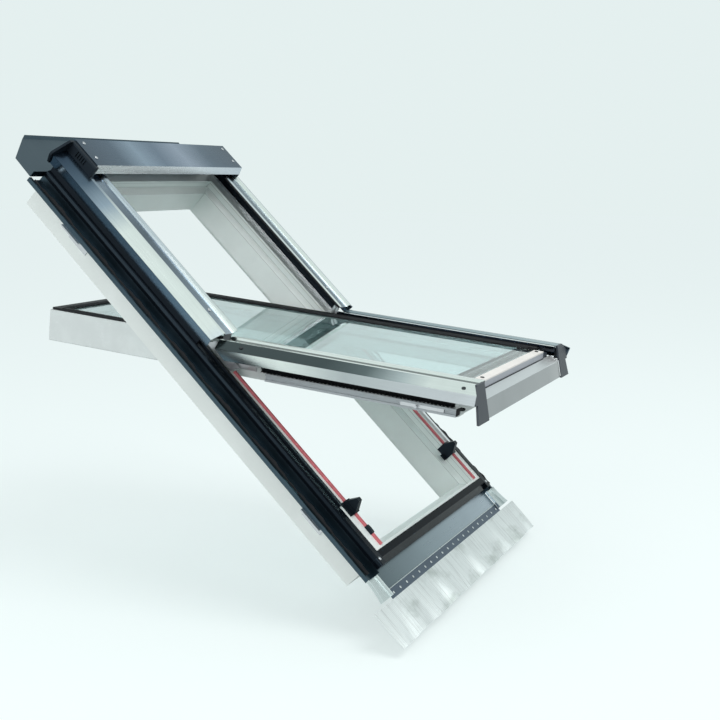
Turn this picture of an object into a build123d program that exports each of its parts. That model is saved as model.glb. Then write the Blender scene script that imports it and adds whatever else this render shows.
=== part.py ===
from build123d import *
import os
from math import atan, cos, degrees, radians, sin

# Lengths are millimetres and angles degrees. Solids are built as if the window lay flat and shut:
# X runs along the eave, Y up the slope, Z out of the roof, and the pivot axis is the X axis.

# Driving sizes
ROOF_PITCH = 45.0
SASH_OPENING = 39.0
CLAD_WIDTH = 770.0
FRAME_LENGTH = 1180.0

# Levels, measured outwards from the pivot axis
COVER_TOP = 8.6
GLASS_DROP = 12.6
GLASS_TOP = COVER_TOP - GLASS_DROP
JAMB_TOP = -46.0
SASH_OVERLAP = 34.0
SASH_BACK = JAMB_TOP - SASH_OVERLAP
FRAME_DEPTH = 104.0
FRAME_BACK = JAMB_TOP - FRAME_DEPTH
FRAME_STAND = 30.0
ROOF_LEVEL = JAMB_TOP - FRAME_STAND

# Frame section
SIDE_WIDTH = 87.0
END_WIDTH = 54.0
MOUTH_STEP = 17.0
MOUTH_DEPTH = 22.0
MOUTH_SLOPE = 9.0
LINING_TAPER = 2.0
BACK_REBATE = 10.0
JAMB_GAP = 13.0
CLAD_SHEET = 2.0
SILL_FALL = 16.0
CLAD_HALF = CLAD_WIDTH / 2
FRAME_HALF = FRAME_LENGTH / 2
LINING_HALF = CLAD_HALF - SIDE_WIDTH
LINING_END = FRAME_HALF - END_WIDTH
JAMB_OUTER = CLAD_HALF - CLAD_SHEET - JAMB_GAP
RAIL_OUTER = FRAME_HALF - CLAD_SHEET
SILL_OUTER = FRAME_HALF - CLAD_SHEET - SILL_FALL
CLAD_TOP = JAMB_TOP + CLAD_SHEET

# Sash
SASH_SIDE_GAP = 10.0
SASH_HALF_WIDTH = LINING_HALF - SASH_SIDE_GAP
SASH_END_GAP = 6.0
SASH_HALF_LENGTH = LINING_END - SASH_END_GAP
STILE_WIDTH = 46.0
STILE_ROUND = 3.0
STILE_EDGE = 6.0
REBATE_WIDTH = 18.0
PANE = 4.0
GLASS_UNIT = 24.0
PANE_GAP = 2.0
GASKET = 2.0
SPACER_WIDTH = 12.0
SPACER_INSET = 4.0
PANE_HALF = SASH_HALF_WIDTH - REBATE_WIDTH - PANE_GAP
PANE_END = SASH_HALF_LENGTH - REBATE_WIDTH - PANE_GAP
PANE_OVERHANG = 20.0
PANE_DROP = SASH_HALF_LENGTH + PANE_OVERHANG
UNIT_BACK = GLASS_TOP - GLASS_UNIT
GASKET_WIDTH = 22.0
GASKET_HEIGHT = 6.0
GASKET_EDGE = 2.0
GASKET_END = 4.0

# Claddings
CLAD_ROUND = 8.0
CLAD_SKIRT = 31.0
CORNER_BULGE = 1.0
SILL_RUN = 14.0
SILL_SETBACK = 6.0
DRIP_GAP = 4.0

# Side covers, in two halves that meet just above the pivot
SHEET = 1.2
PLAY = 0.3
LIP_INSET = 7.0
LIP_HALF = SASH_HALF_WIDTH - LIP_INSET
LIP_WIDTH = 12.0
CHANNEL_DEPTH = 5.0
CHANNEL_SLOPE = 3.0
CHANNEL_WIDTH = 40.0
RIDGE_WIDTH = 10.0
COVER_RIDGE = LIP_HALF + LIP_WIDTH + 2 * CHANNEL_SLOPE + CHANNEL_WIDTH + RIDGE_WIDTH
FALL_WIDTH = 39.0
COVER_HALF = COVER_RIDGE + FALL_WIDTH
COVER_FALL = 13.6
COVER_FOLD = COVER_TOP - COVER_FALL
FALL_SLOPE = COVER_FALL / FALL_WIDTH
COVER_SIDE = 26.0
COVER_LEAN = 12.0
COVER_OVERRUN = 10.0
COVER_BACK = FRAME_HALF + COVER_OVERRUN
COVER_END = 25.0
COVER_GAP = 3.0
SASH_COVER_START = COVER_END - COVER_GAP
COVER_CUT = 30.0
COVER_CUT_DEPTH = 39.6
UPPER_LIP_DROP = 4.6
LOWER_LIP_DROP = 6.6
CARRIER_WIDTH = 14.0
CARRIER_SETBACK = 6.0
LOWER_CARRIER = 8.0
CARRIER_GAP = 1.0

# Cover over the head, with the slotted cap at its left end
TOP_COVER_INSET = 15.0
TOP_COVER_LEFT = COVER_RIDGE - TOP_COVER_INSET
TOP_COVER_MARGIN = 1.0
TOP_COVER_RIGHT = COVER_RIDGE + TOP_COVER_MARGIN
TOP_COVER_REACH = 67.0
TOP_COVER_FRONT = FRAME_HALF - TOP_COVER_REACH
TOP_COVER_OVERRUN = 19.0
TOP_COVER_BACK = FRAME_HALF + TOP_COVER_OVERRUN
TOP_COVER_RISE = 28.2
TOP_COVER_HEIGHT = COVER_TOP + TOP_COVER_RISE
TOP_LIP_RUN = 7.0
TOP_LIP_RISE = 8.4
TOP_LIP_BOTTOM = COVER_TOP + TOP_LIP_RISE
CAP_WIDTH = 13.0
CAP_STEP = 2.0
CAP_WALL = 6.0
CAP_SHOULDER = 9.0
CAP_PROUD = 4.0
CAP_ROUND = 4.0
CAP_SLOT_PLACE = 37.0
CAP_SLOT_MIDDLE = TOP_COVER_FRONT + CAP_SLOT_PLACE
CAP_SLOTS = 5
CAP_SLOT_LENGTH = 15.0
CAP_SLOT_WIDTH = 3.5
CAP_SLOT_PITCH = 7.0
CAP_SLOT_DEPTH = 3.0

# Front of the sash
STRIP_INSET = 51.0
STRIP_HALF = SASH_HALF_WIDTH - STRIP_INSET
STRIP_OVERRUN = 10.0
STRIP_START = SASH_HALF_LENGTH + STRIP_OVERRUN
STRIP_WIDTH = 26.0
STRIP_FRONT = STRIP_START + STRIP_WIDTH
STRIP_MIDDLE = (STRIP_START + STRIP_FRONT) / 2
STRIP_RISE = 4.0
STRIP_TOP = GLASS_TOP + STRIP_RISE
STRIP_FACE = 18.0
STRIP_EDGE = 2.0
LIP_SETBACK = 12.0
LIP_BACK = STRIP_START + LIP_SETBACK
BAND_TOP = STRIP_TOP - STRIP_FACE
BAND_HEIGHT = 10.0
BAND_LEVEL = BAND_TOP - BAND_HEIGHT
FRONT_REACH = 18.0
FRONT_TOP = STRIP_FRONT + FRONT_REACH
FRONT_LEAN = 20.0
FRONT_RECESS = 3.0
FRONT_LIFT = 12.0
FRONT_BOTTOM = SASH_BACK + FRONT_LIFT
FRONT_HEM = 8.0
FRONT_RAIL_DEPTH = 6.0
FRONT_RAIL_BACK = BAND_LEVEL - FRONT_RAIL_DEPTH
CAP_CLEAR = 13.0
CAP_INNER = SASH_HALF_WIDTH + CAP_CLEAR
CAP_SPREAD = 23.0
CAP_OUTER = COVER_RIDGE + CAP_SPREAD
CAP_FOOT = 2.0
CAP_LOW = FRONT_BOTTOM - CAP_FOOT
CAP_PLATE = 5.0
CAP_PLUG = 12.0
CAP_PLAY = 0.4
COVER_FRONT = FRONT_TOP - CAP_PLATE
COVER_SKEW = 18.0

# Arc hinge
ARC_INNER = 27.0
ARC_OUTER = 43.0
GROOVE_INNER = 32.0
GROOVE_OUTER = 37.0
TONGUE_SPAN = 28.0
TONGUE_START = -5.0
PLATE_SPAN = 170.0
GROOVE_START = 5.0
GROOVE_SPAN = 190.0
HINGE_PLATE = 5.0
GROOVE_FLOOR = 1.0
TONGUE_INSET = 1.0
HINGE_GAP = 3.0
HINGE_CLEARANCE = 0.4
HINGE_WEB = 24.0
HINGE_FOOT = 42.0
FOOT_SHEET = 3.0
FOOT_REACH = 41.0
FOOT_OUTER = LINING_HALF + FOOT_REACH
LEAF_HALF = 46.0
LEAF_SETBACK = 8.0
LEAF_TOP = GLASS_TOP - LEAF_SETBACK

# Lock
RAIL_STRIP = 6.0
RAIL_STRIP_HEIGHT = 18.0
RAIL_STRIP_END = 70.0
RAIL_STRIP_INSET = 2.0
GROOVE_HEIGHT = 8.0
GROOVE_DEPTH = 4.5
BOLT_SETBACK = 130.0
BOLT_START = SASH_HALF_LENGTH - BOLT_SETBACK
BOLT_LENGTH = 100.0
BOLT_THROW = 18.0
BOLT_INSET = 1.0
CAM_SETBACK = 74.0
CAM_PLACE = SASH_HALF_LENGTH - CAM_SETBACK
CAM_RADIUS = 3.5
CAM_LENGTH = 10.0
KEEP_SETBACK = 64.0
KEEP_LOW = SASH_HALF_LENGTH - KEEP_SETBACK
KEEP_LENGTH = 36.0
KEEP_SHEET = 3.0
KEEP_TIP_GAP = 4.0
KEEP_CAM_GAP = 3.0
KEEP_FLANGE = 14.0
KEEP_PLAY = 1.0
KEEP_FIN = 22.0
FIN_INSET = 2.0
FIN_TIP = 4.0

# Handle
HANDLE_PLACE = SASH_HALF_LENGTH - STILE_WIDTH / 2
HANDLE_LENGTH = 118.0
HANDLE_NECK = 8.0
HANDLE_HALF = 10.0
HANDLE_ROUND = 5.0
NECK_LENGTH = 24.0
GRIP_NEAR = 24.0
GRIP_FAR = 38.0
PLATE_HALF_WIDTH = 15.0
PLATE_HALF_LENGTH = 18.0
PLATE_DEPTH = 6.0
PLATE_ROUND = 8.0

# Seals and rails on the frame
RED_SEAL_INSET = 21.0
RED_SEAL_INNER = LINING_HALF + RED_SEAL_INSET
RED_SEAL_WIDTH = 9.0
RED_SEAL_HEIGHT = 5.0
RED_SEAL_ROUND = 2.0
SEAL_GAP = 4.0
GUIDE_INSET = 36.0
GUIDE_INNER = CLAD_HALF - GUIDE_INSET
GUIDE_WIDTH = 10.0
GUIDE_HEIGHT = 6.0
GUIDE_SETBACK = 95.0
GUIDE_END = SASH_HALF_LENGTH - GUIDE_SETBACK
GUIDE_BACK = 20.0

# Flashing
FLASHING_SHEET = 1.0
SILL_SHEET_RUN = 47.0
FOLD_LINE = FRAME_HALF + SILL_SHEET_RUN
STRIP_BAND = 24.0
STRIP_DOTS = 20
STRIP_DOT_RADIUS = 3.0
APRON_OVERRUN = 95.0
APRON_HALF = CLAD_HALF + APRON_OVERRUN
APRON_LENGTH = 90.0
APRON_PLEATS = 64
APRON_WAVE = 3.0
GUTTER_WIDTH = 46.0
GUTTER_HEM = 8.0
GUTTER_RISE = 10.0
FLASHING_UPSTAND = 16.0
HEAD_REACH = 125.0
HEAD_FLASHING = FRAME_HALF + HEAD_REACH
HEAD_OVERRUN = 45.0
HEAD_HALF = CLAD_HALF + HEAD_OVERRUN
HEAD_CORNER = 90.0
HEAD_CORNER_RUN = 70.0
HEAD_RISE = 12.0
HEAD_CREASE = 16.0
HEAD_EDGE = 22.0
HEAD_HEM = 8.0
HEAD_OVERLAP = 4.0

# Fixing brackets
BRACKET_SETBACK = 170.0
BRACKET_PLACE = FRAME_HALF - BRACKET_SETBACK
BRACKET_WIDTH = 60.0
BRACKET_REACH = 70.0
BRACKET_LEG = 44.0
BRACKET_SHEET = 3.0
BRACKET_HOLE = 3.0
BRACKET_HOLE_PLACE = 45.0

# Screws
SCREW_HEAD = 4.5
SCREW_HEIGHT = 1.8
SCREW_ROUND = 0.8
SCREW_INSET = 20.0
TOP_SCREW_FRONT = 25.0
TOP_SCREW_BACK = 14.0
TOP_SCREWS = (TOP_COVER_FRONT + TOP_SCREW_FRONT, TOP_COVER_BACK - TOP_SCREW_BACK)
CHANNEL_SCREW_PLACE = 73.0
CHANNEL_SCREW = COVER_END + CHANNEL_SCREW_PLACE
SASH_SCREW_FRONT = 17.0
SASH_SCREW_BACK = 66.0
SASH_SCREWS = (SASH_SCREW_FRONT - COVER_FRONT, SASH_COVER_START - SASH_SCREW_BACK)

nodes = {}


def outline(points, radii=None):
    """Face bounded by the points, with rounded corners where a radius is given."""
    if radii is None:
        return make_face(Polyline(*points, close=True))
    return make_face(FilletPolyline(*points, radius=radii, close=True))


def along_slope(section, low, high):
    """Bar with a section in X and Z that runs up the slope."""
    face = Plane(origin=(0, low, 0), x_dir=(1, 0, 0), z_dir=(0, -1, 0)) * section
    return extrude(face, amount=high - low, dir=(0, 1, 0))


def along_eave(section, left, right):
    """Bar with a section in Y and Z that runs along the eave."""
    face = Plane(origin=(left, 0, 0), x_dir=(0, 1, 0), z_dir=(1, 0, 0)) * section
    return extrude(face, amount=right - left, dir=(1, 0, 0))


def block(x_range, y_range, z_range):
    """Box between the named limits."""
    size = [high - low for low, high in (x_range, y_range, z_range)]
    middle = [(high + low) / 2 for low, high in (x_range, y_range, z_range)]
    return Pos(*middle) * Box(*size)


def offset_path(points, distance):
    """Points of a path moved to its right by the distance, mitred at the corners."""
    face = [Vector(*point) for point in points]
    ways = [(after - before).normalized() for before, after in zip(face, face[1:])]
    sides = [Vector(way.Y, -way.X) for way in ways]
    back = [face[0] + sides[0] * distance]
    for corner, before, after in zip(face[1:-1], sides, sides[1:]):
        back.append(corner + (before + after) * (distance / (1 + before.dot(after))))
    back.append(face[-1] + sides[-1] * distance)
    return [(point.X, point.Y) for point in back]


def folded(points, thickness):
    """Outline of a folded sheet: the points are one side, the other lies to their right."""
    return outline([*points, *reversed(offset_path(points, thickness))])


def upright(points, low, high):
    """Prism with an outline in X and Y between two levels."""
    return extrude(Plane.XY.offset(low) * outline(points), amount=high - low)


def across(part):
    """The same piece on the other side of the window."""
    return mirror(part, about=Plane.YZ)


def both_sides(name, right):
    """Store a right-hand piece and its mirror image under the two side names."""
    nodes[name + "_right"] = right
    nodes[name + "_left"] = across(right)


def ring(half_width, low, high, width, bottom, top):
    """Flat rectangular ring with the outer limits given."""
    outer = block((-half_width, half_width), (low, high), (bottom, top))
    inner = block(
        (width - half_width, half_width - width), (low + width, high - width), (bottom - 1, top + 1)
    )
    return outer - inner


def mouth_section(inner, outer):
    """Stepped section shared by the four frame rails, with the mouth towards the opening."""
    mouth = inner + MOUTH_STEP
    step = JAMB_TOP - MOUTH_DEPTH
    return [
        (mouth, JAMB_TOP),
        (outer, JAMB_TOP),
        (outer, FRAME_BACK),
        (inner + BACK_REBATE, FRAME_BACK),
        (inner + BACK_REBATE, FRAME_BACK + BACK_REBATE),
        (inner, FRAME_BACK + BACK_REBATE),
        (inner + LINING_TAPER, step - MOUTH_SLOPE),
        (mouth, step),
    ]


def frame_rails():
    """White jambs, head and sill, coped where they meet."""
    jamb = along_slope(outline(mouth_section(LINING_HALF, JAMB_OUTER)), -SILL_OUTER, RAIL_OUTER)
    both_sides("frame_jamb", jamb)
    head = along_eave(outline(mouth_section(LINING_END, RAIL_OUTER)), -JAMB_OUTER, JAMB_OUTER)
    nodes["frame_head"] = head - jamb - across(jamb)
    sill = along_eave(outline(mouth_section(LINING_END, SILL_OUTER)), -JAMB_OUTER, JAMB_OUTER)
    nodes["frame_sill"] = mirror(sill, about=Plane.XZ) - jamb - across(jamb)


def side_claddings():
    """Black rounded claddings outside the jambs."""
    inner = GUIDE_INNER + GUIDE_WIDTH
    path = [
        (inner, CLAD_TOP),
        (CLAD_HALF - CLAD_ROUND, CLAD_TOP),
        (CLAD_HALF - CLAD_ROUND * (1 - sin(radians(45))), CLAD_TOP - CLAD_ROUND * (1 - sin(radians(45)))),
        (CLAD_HALF, CLAD_TOP - CLAD_ROUND),
        (CLAD_HALF, CLAD_TOP - CLAD_SKIRT),
    ]
    skin = along_slope(folded(path, CLAD_SHEET), -SILL_OUTER, RAIL_OUTER)
    both_sides("side_cladding", skin)


def sill_cladding():
    """Black cladding over the sill with a sloping face and a drip edge."""
    path = [
        (-FRAME_HALF, ROOF_LEVEL + DRIP_GAP),
        (-FRAME_HALF, CLAD_TOP - SILL_FALL),
        (-FRAME_HALF + SILL_RUN, CLAD_TOP),
        (-LINING_END - MOUTH_STEP - SILL_SETBACK, CLAD_TOP),
    ]
    half = GUIDE_INNER + GUIDE_WIDTH
    nodes["sill_cladding"] = along_eave(folded(path, CLAD_SHEET), -half, half)


def cladding_corners():
    """Corner pieces that close the claddings at the sill."""
    corner = block(
        (GUIDE_INNER + GUIDE_WIDTH, CLAD_HALF),
        (-FRAME_HALF - CORNER_BULGE, -SILL_OUTER),
        (ROOF_LEVEL + DRIP_GAP, CLAD_TOP),
    )
    corner = fillet(corner.edges().filter_by(Axis.Y).group_by(Axis.Z)[-1].sort_by(Axis.X)[-1], CLAD_ROUND)
    both_sides("cladding_corner", corner)


def cover_path(drop):
    """Outer side of a side cover: lip, screw channel, ridge, falling face and leaning side."""
    floor = COVER_TOP - CHANNEL_DEPTH
    channel = LIP_HALF + LIP_WIDTH
    return [
        (LIP_HALF, COVER_TOP - drop),
        (LIP_HALF, COVER_TOP),
        (channel, COVER_TOP),
        (channel + CHANNEL_SLOPE, floor),
        (channel + CHANNEL_SLOPE + CHANNEL_WIDTH, floor),
        (COVER_RIDGE - RIDGE_WIDTH, COVER_TOP),
        (COVER_RIDGE, COVER_TOP),
        (COVER_HALF, COVER_FOLD),
        (COVER_HALF - COVER_LEAN, COVER_FOLD - COVER_SIDE),
    ]


def upper_covers():
    """Covers fixed to the frame above the pivot, with the rails that carry them."""
    cover = along_slope(folded(cover_path(UPPER_LIP_DROP), SHEET), COVER_END, COVER_BACK)
    both_sides("upper_cover", cover)
    carrier_inner = GUIDE_INNER + GUIDE_WIDTH + CARRIER_GAP
    carrier_outer = carrier_inner + CARRIER_WIDTH
    under = SHEET * (1 + FALL_SLOPE**2) ** 0.5 + FALL_SLOPE * (carrier_inner - COVER_RIDGE)
    section = [
        (carrier_inner, CLAD_TOP),
        (carrier_outer, CLAD_TOP),
        (carrier_outer, COVER_TOP - under - FALL_SLOPE * CARRIER_WIDTH),
        (carrier_inner, COVER_TOP - under),
    ]
    both_sides("cover_rail", along_slope(outline(section), ARC_OUTER + CARRIER_SETBACK, RAIL_OUTER))


def top_cover():
    """Flat cover over the head with a bright sloping lip and an end wall on each side cover."""
    path = [
        (TOP_COVER_FRONT - TOP_LIP_RUN, TOP_LIP_BOTTOM),
        (TOP_COVER_FRONT, TOP_COVER_HEIGHT),
        (TOP_COVER_BACK, TOP_COVER_HEIGHT),
        (TOP_COVER_BACK, CLAD_TOP),
    ]
    shell = along_eave(folded(path, SHEET), -TOP_COVER_LEFT, TOP_COVER_RIGHT)
    end = outline([*path[:3], (TOP_COVER_BACK, COVER_TOP), (path[0][0], COVER_TOP)])
    shell += along_eave(end, TOP_COVER_RIGHT - SHEET, TOP_COVER_RIGHT)
    shell += along_eave(end, -TOP_COVER_LEFT, SHEET - TOP_COVER_LEFT)
    nodes["top_cover"] = shell


def corner_cap():
    """Plastic cap beside the left end of the top cover, with a slotted side and a wall behind the cover."""
    outer = TOP_COVER_LEFT + CAP_WIDTH
    front = TOP_COVER_FRONT - TOP_LIP_RUN
    back = COVER_BACK + CAP_WALL
    top = TOP_COVER_HEIGHT - CAP_STEP
    cap = block((-outer, -TOP_COVER_LEFT), (front, back), (COVER_TOP, top))
    cap = fillet(cap.edges().filter_by(Axis.Y).group_by(Axis.Z)[-1].sort_by(Axis.X)[0], CAP_ROUND)
    channel_end = COVER_RIDGE - RIDGE_WIDTH - CHANNEL_SLOPE
    cap += block((-channel_end, -TOP_COVER_LEFT), (front, COVER_BACK), (COVER_TOP - CHANNEL_DEPTH, COVER_TOP))
    wall = outline(
        [
            (-TOP_COVER_LEFT, top),
            (-outer - CAP_SHOULDER, top),
            (-COVER_HALF - CAP_PROUD, COVER_FOLD + CAP_PROUD),
            (-COVER_HALF - CAP_PROUD, COVER_FOLD - CAP_PROUD),
            (COVER_LEAN - COVER_HALF - CAP_PROUD, COVER_FOLD - COVER_SIDE),
            (-TOP_COVER_LEFT, COVER_FOLD - COVER_SIDE),
        ]
    )
    cap += along_slope(wall, COVER_BACK, back)
    middle = (COVER_TOP + top) / 2
    for number in range(CAP_SLOTS):
        place = CAP_SLOT_MIDDLE + CAP_SLOT_PITCH * (number - (CAP_SLOTS - 1) / 2)
        cap -= Pos(-outer, place, middle) * Box(2 * CAP_SLOT_DEPTH, CAP_SLOT_WIDTH, CAP_SLOT_LENGTH)
    nodes["corner_cap_left"] = cap


def sash_members():
    """White stiles and rails with the glazing rebate."""
    inner = SASH_HALF_WIDTH - STILE_WIDTH
    rebate = SASH_HALF_WIDTH - REBATE_WIDTH
    floor = UNIT_BACK - GASKET
    section = [
        (SASH_HALF_WIDTH, SASH_BACK),
        (SASH_HALF_WIDTH, GLASS_TOP),
        (rebate, GLASS_TOP),
        (rebate, floor),
        (inner, floor),
        (inner, SASH_BACK),
    ]
    corners = [STILE_ROUND, 0, 0, 0, STILE_ROUND, STILE_EDGE]
    stile = along_slope(
        outline(section, corners), -SASH_HALF_LENGTH, SASH_HALF_LENGTH
    )
    both_sides("sash_stile", stile)
    shift = SASH_HALF_LENGTH - SASH_HALF_WIDTH
    rail_section = outline([(x + shift, z) for x, z in section], corners)
    rail = along_eave(rail_section, -rebate, rebate) - stile - across(stile)
    nodes["sash_top_rail"] = rail
    lower = mirror(rail, about=Plane.XZ)
    lower -= block(
        (-rebate, rebate), (-SASH_HALF_LENGTH - 1, -PANE_END), (GLASS_TOP - PANE - GASKET, GLASS_TOP + 1)
    )
    nodes["sash_bottom_rail"] = lower


def glazing():
    """Two panes, their spacer and gaskets: the outer pane runs on over the bottom rail."""
    low = -PANE_END
    nodes["outer_pane"] = block(
        (-PANE_HALF, PANE_HALF), (-PANE_DROP, PANE_END), (GLASS_TOP - PANE, GLASS_TOP)
    )
    nodes["inner_pane"] = block((-PANE_HALF, PANE_HALF), (low, PANE_END), (UNIT_BACK, UNIT_BACK + PANE))
    nodes["pane_spacer"] = ring(
        PANE_HALF - SPACER_INSET,
        low + SPACER_INSET,
        PANE_END - SPACER_INSET,
        SPACER_WIDTH,
        UNIT_BACK + PANE,
        GLASS_TOP - PANE,
    )
    nodes["inner_gasket"] = ring(PANE_HALF, low, PANE_END, SPACER_WIDTH, UNIT_BACK - GASKET, UNIT_BACK)
    bed = block(
        (-PANE_HALF, PANE_HALF), (-SASH_HALF_LENGTH, -PANE_END), (GLASS_TOP - PANE - GASKET, GLASS_TOP - PANE)
    )
    nodes["drip_gasket"] = bed
    legs = SASH_HALF_WIDTH - GASKET_END
    top = SASH_HALF_LENGTH - GASKET_END
    outer = ring(legs, -STRIP_START, top, GASKET_WIDTH, GLASS_TOP, GLASS_TOP + GASKET_HEIGHT)
    upper_edges = outer.edges().group_by(Axis.Z)[-1]
    inner_edges = [edge for edge in upper_edges if abs(edge.center().X) < legs - GASKET_WIDTH / 2]
    inner_edges = [edge for edge in inner_edges if -PANE_END < edge.center().Y < top - GASKET_WIDTH / 2]
    outer = chamfer(inner_edges, GASKET_HEIGHT - GASKET_EDGE)
    inside = legs - GASKET_WIDTH
    open_end = block((-inside, inside), (-STRIP_FRONT, GASKET_WIDTH - PANE_END), (GLASS_TOP, COVER_TOP))
    nodes["glazing_gasket"] = outer - open_end


def sash_covers():
    """Covers carried by the lower half of the sash, cut askew at the front, and the rails under them."""
    cover = along_slope(folded(cover_path(LOWER_LIP_DROP), SHEET), -FRAME_LENGTH, SASH_COVER_START)
    wedge = [
        (SASH_COVER_START, COVER_TOP),
        (SASH_COVER_START + COVER_CUT, COVER_TOP),
        (SASH_COVER_START + COVER_CUT, COVER_TOP - 2 * COVER_CUT_DEPTH),
        (SASH_COVER_START - 2 * COVER_CUT, COVER_TOP - 2 * COVER_CUT_DEPTH),
    ]
    cover -= along_eave(outline(wedge), COVER_RIDGE, 2 * COVER_HALF)
    cover -= askew()
    both_sides("sash_cover", cover)
    floor = COVER_TOP - CHANNEL_DEPTH - SHEET
    carrier = block(
        (SASH_HALF_WIDTH, COVER_RIDGE - RIDGE_WIDTH - CHANNEL_SLOPE - SHEET),
        (CARRIER_GAP - COVER_FRONT, -LEAF_HALF - HINGE_PLATE),
        (floor - LOWER_CARRIER, floor),
    )
    both_sides("sash_cover_rail", carrier)


def askew():
    """What is cut off the front of a sash cover: straight under the ridge and slanting outside it."""
    return upright(
        [
            (0, -COVER_FRONT),
            (COVER_RIDGE, -COVER_FRONT),
            (COVER_HALF, -COVER_FRONT - COVER_SKEW),
            (2 * COVER_HALF, -COVER_FRONT - COVER_SKEW),
            (2 * COVER_HALF, -2 * FRAME_LENGTH),
            (0, -2 * FRAME_LENGTH),
        ],
        SASH_BACK,
        TOP_COVER_HEIGHT,
    )


def front_line(level):
    """How far down the slope the leaning front of the sash lies at a level."""
    return -FRONT_TOP - FRONT_LEAN * (COVER_TOP - level) / (COVER_TOP - FRONT_BOTTOM)


def end_caps():
    """Leaning plates that close the sash at its front corners, with plugs in the covers' ends."""
    front = [(front_line(COVER_TOP), COVER_TOP), (front_line(CAP_LOW), CAP_LOW)]
    back = [(place + CAP_PLATE, level) for place, level in reversed(front)]
    corners = [(CAP_INNER, COVER_TOP), (COVER_RIDGE, COVER_TOP), (CAP_OUTER, CAP_LOW), (CAP_INNER, CAP_LOW)]
    shape = along_slope(outline(corners), -FRAME_LENGTH, 0)
    plate = along_eave(outline([*front, *back]), CAP_INNER, CAP_OUTER) & shape
    inside = offset_path(cover_path(LOWER_LIP_DROP)[-3:], SHEET + CAP_PLAY)
    inner = COVER_RIDGE - RIDGE_WIDTH / 2
    bottom = inside[-1][1]
    section = outline([*inside, (inner, bottom), (inner, inside[0][1])])
    deep = [(CAP_PLUG - COVER_FRONT, CAP_LOW), (CAP_PLUG - COVER_FRONT, COVER_TOP)]
    plug = along_eave(outline([*front, *deep]), inner, COVER_HALF) & along_slope(section, -FRAME_LENGTH, 0)
    both_sides("end_cap", plate + plug)


def front_covers():
    """Cream glazing strip and grey front cover at the lower edge of the sash, and the rail under both."""
    strip_path = [
        (-STRIP_FRONT, BAND_TOP),
        (-STRIP_FRONT, STRIP_TOP),
        (-STRIP_START - STRIP_EDGE, STRIP_TOP),
        (-STRIP_START, GLASS_TOP + SHEET / 2 + PLAY),
    ]
    nodes["glazing_strip"] = along_eave(folded(strip_path, SHEET), -STRIP_HALF, STRIP_HALF)
    bottom = front_line(FRONT_BOTTOM) + FRONT_RECESS
    front_path = [
        (bottom + FRONT_HEM, FRONT_BOTTOM),
        (bottom, FRONT_BOTTOM),
        (front_line(BAND_LEVEL) + FRONT_RECESS, BAND_LEVEL),
        (-STRIP_FRONT, BAND_TOP),
    ]
    half = CAP_INNER - CAP_PLAY
    nodes["front_cover"] = along_eave(folded(front_path, SHEET), -half, half)
    behind = FRONT_RECESS + SHEET + PLAY
    under = BAND_TOP - SHEET - PLAY
    face = SHEET + PLAY - STRIP_FRONT
    carrier = [
        (-SASH_HALF_LENGTH, FRONT_RAIL_BACK),
        (front_line(FRONT_RAIL_BACK) + behind, FRONT_RAIL_BACK),
        (front_line(BAND_LEVEL) + behind, BAND_LEVEL - SHEET),
        (face, under),
        (-SASH_HALF_LENGTH, under),
    ]
    rail = along_eave(outline(carrier), -SASH_HALF_WIDTH, SASH_HALF_WIDTH)
    bed = GLASS_TOP - PANE - GASKET
    lip = [
        (-SASH_HALF_LENGTH, under),
        (face, under),
        (face, STRIP_TOP - SHEET - PLAY),
        (-LIP_BACK, STRIP_TOP - SHEET - PLAY),
        (-LIP_BACK, bed),
        (-SASH_HALF_LENGTH, bed),
    ]
    inset = STRIP_HALF - SHEET
    nodes["front_rail"] = rail + along_eave(outline(lip), -inset, inset)


def screw_head(u, v, level, lean=0.0):
    """Domed screw head that stands on a face leaning about the slope's direction."""
    head = Cylinder(SCREW_HEAD, SCREW_HEIGHT, align=(Align.CENTER, Align.CENTER, Align.MIN))
    head = fillet(head.edges().group_by(Axis.Z)[-1], SCREW_ROUND)
    return Pos(u, v, level) * Rot(0, lean, 0) * head


def cover_screws():
    """Screws in the top cover and the screw channels, and those of the sash covers and the strip."""
    channel = LIP_HALF + LIP_WIDTH + CHANNEL_SLOPE + CHANNEL_WIDTH / 2
    fixed = [
        screw_head(u, v, TOP_COVER_HEIGHT)
        for u in (SCREW_INSET - TOP_COVER_LEFT, TOP_COVER_RIGHT - SCREW_INSET)
        for v in TOP_SCREWS
    ]
    fixed += [screw_head(side * channel, CHANNEL_SCREW, COVER_TOP - CHANNEL_DEPTH) for side in (-1, 1)]
    nodes["cover_screws"] = Compound(children=fixed)
    middle = (COVER_HALF + COVER_RIDGE) / 2
    level = COVER_TOP - COVER_FALL / 2
    lean = degrees(atan(FALL_SLOPE))
    moving = [screw_head(side * middle, v, level, side * lean) for side in (-1, 1) for v in SASH_SCREWS]
    moving += [screw_head(side * (STRIP_HALF - SCREW_INSET), -STRIP_MIDDLE, STRIP_TOP) for side in (-1, 1)]
    nodes["sash_screws"] = Compound(children=moving)


def arc_plate(inner, outer, start, span, left, right):
    """Sector of a ring about the pivot axis, from the start angle down towards the room."""
    sector = make_face(
        [
            Polyline(
                (inner * cos(radians(start)), inner * sin(radians(start))),
                (outer * cos(radians(start)), outer * sin(radians(start))),
            ),
            CenterArc((0, 0), outer, start, -span),
            Polyline(
                (outer * cos(radians(start - span)), outer * sin(radians(start - span))),
                (inner * cos(radians(start - span)), inner * sin(radians(start - span))),
            ),
            CenterArc((0, 0), inner, start, -span),
        ]
    )
    return along_eave(sector, left, right)


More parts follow.
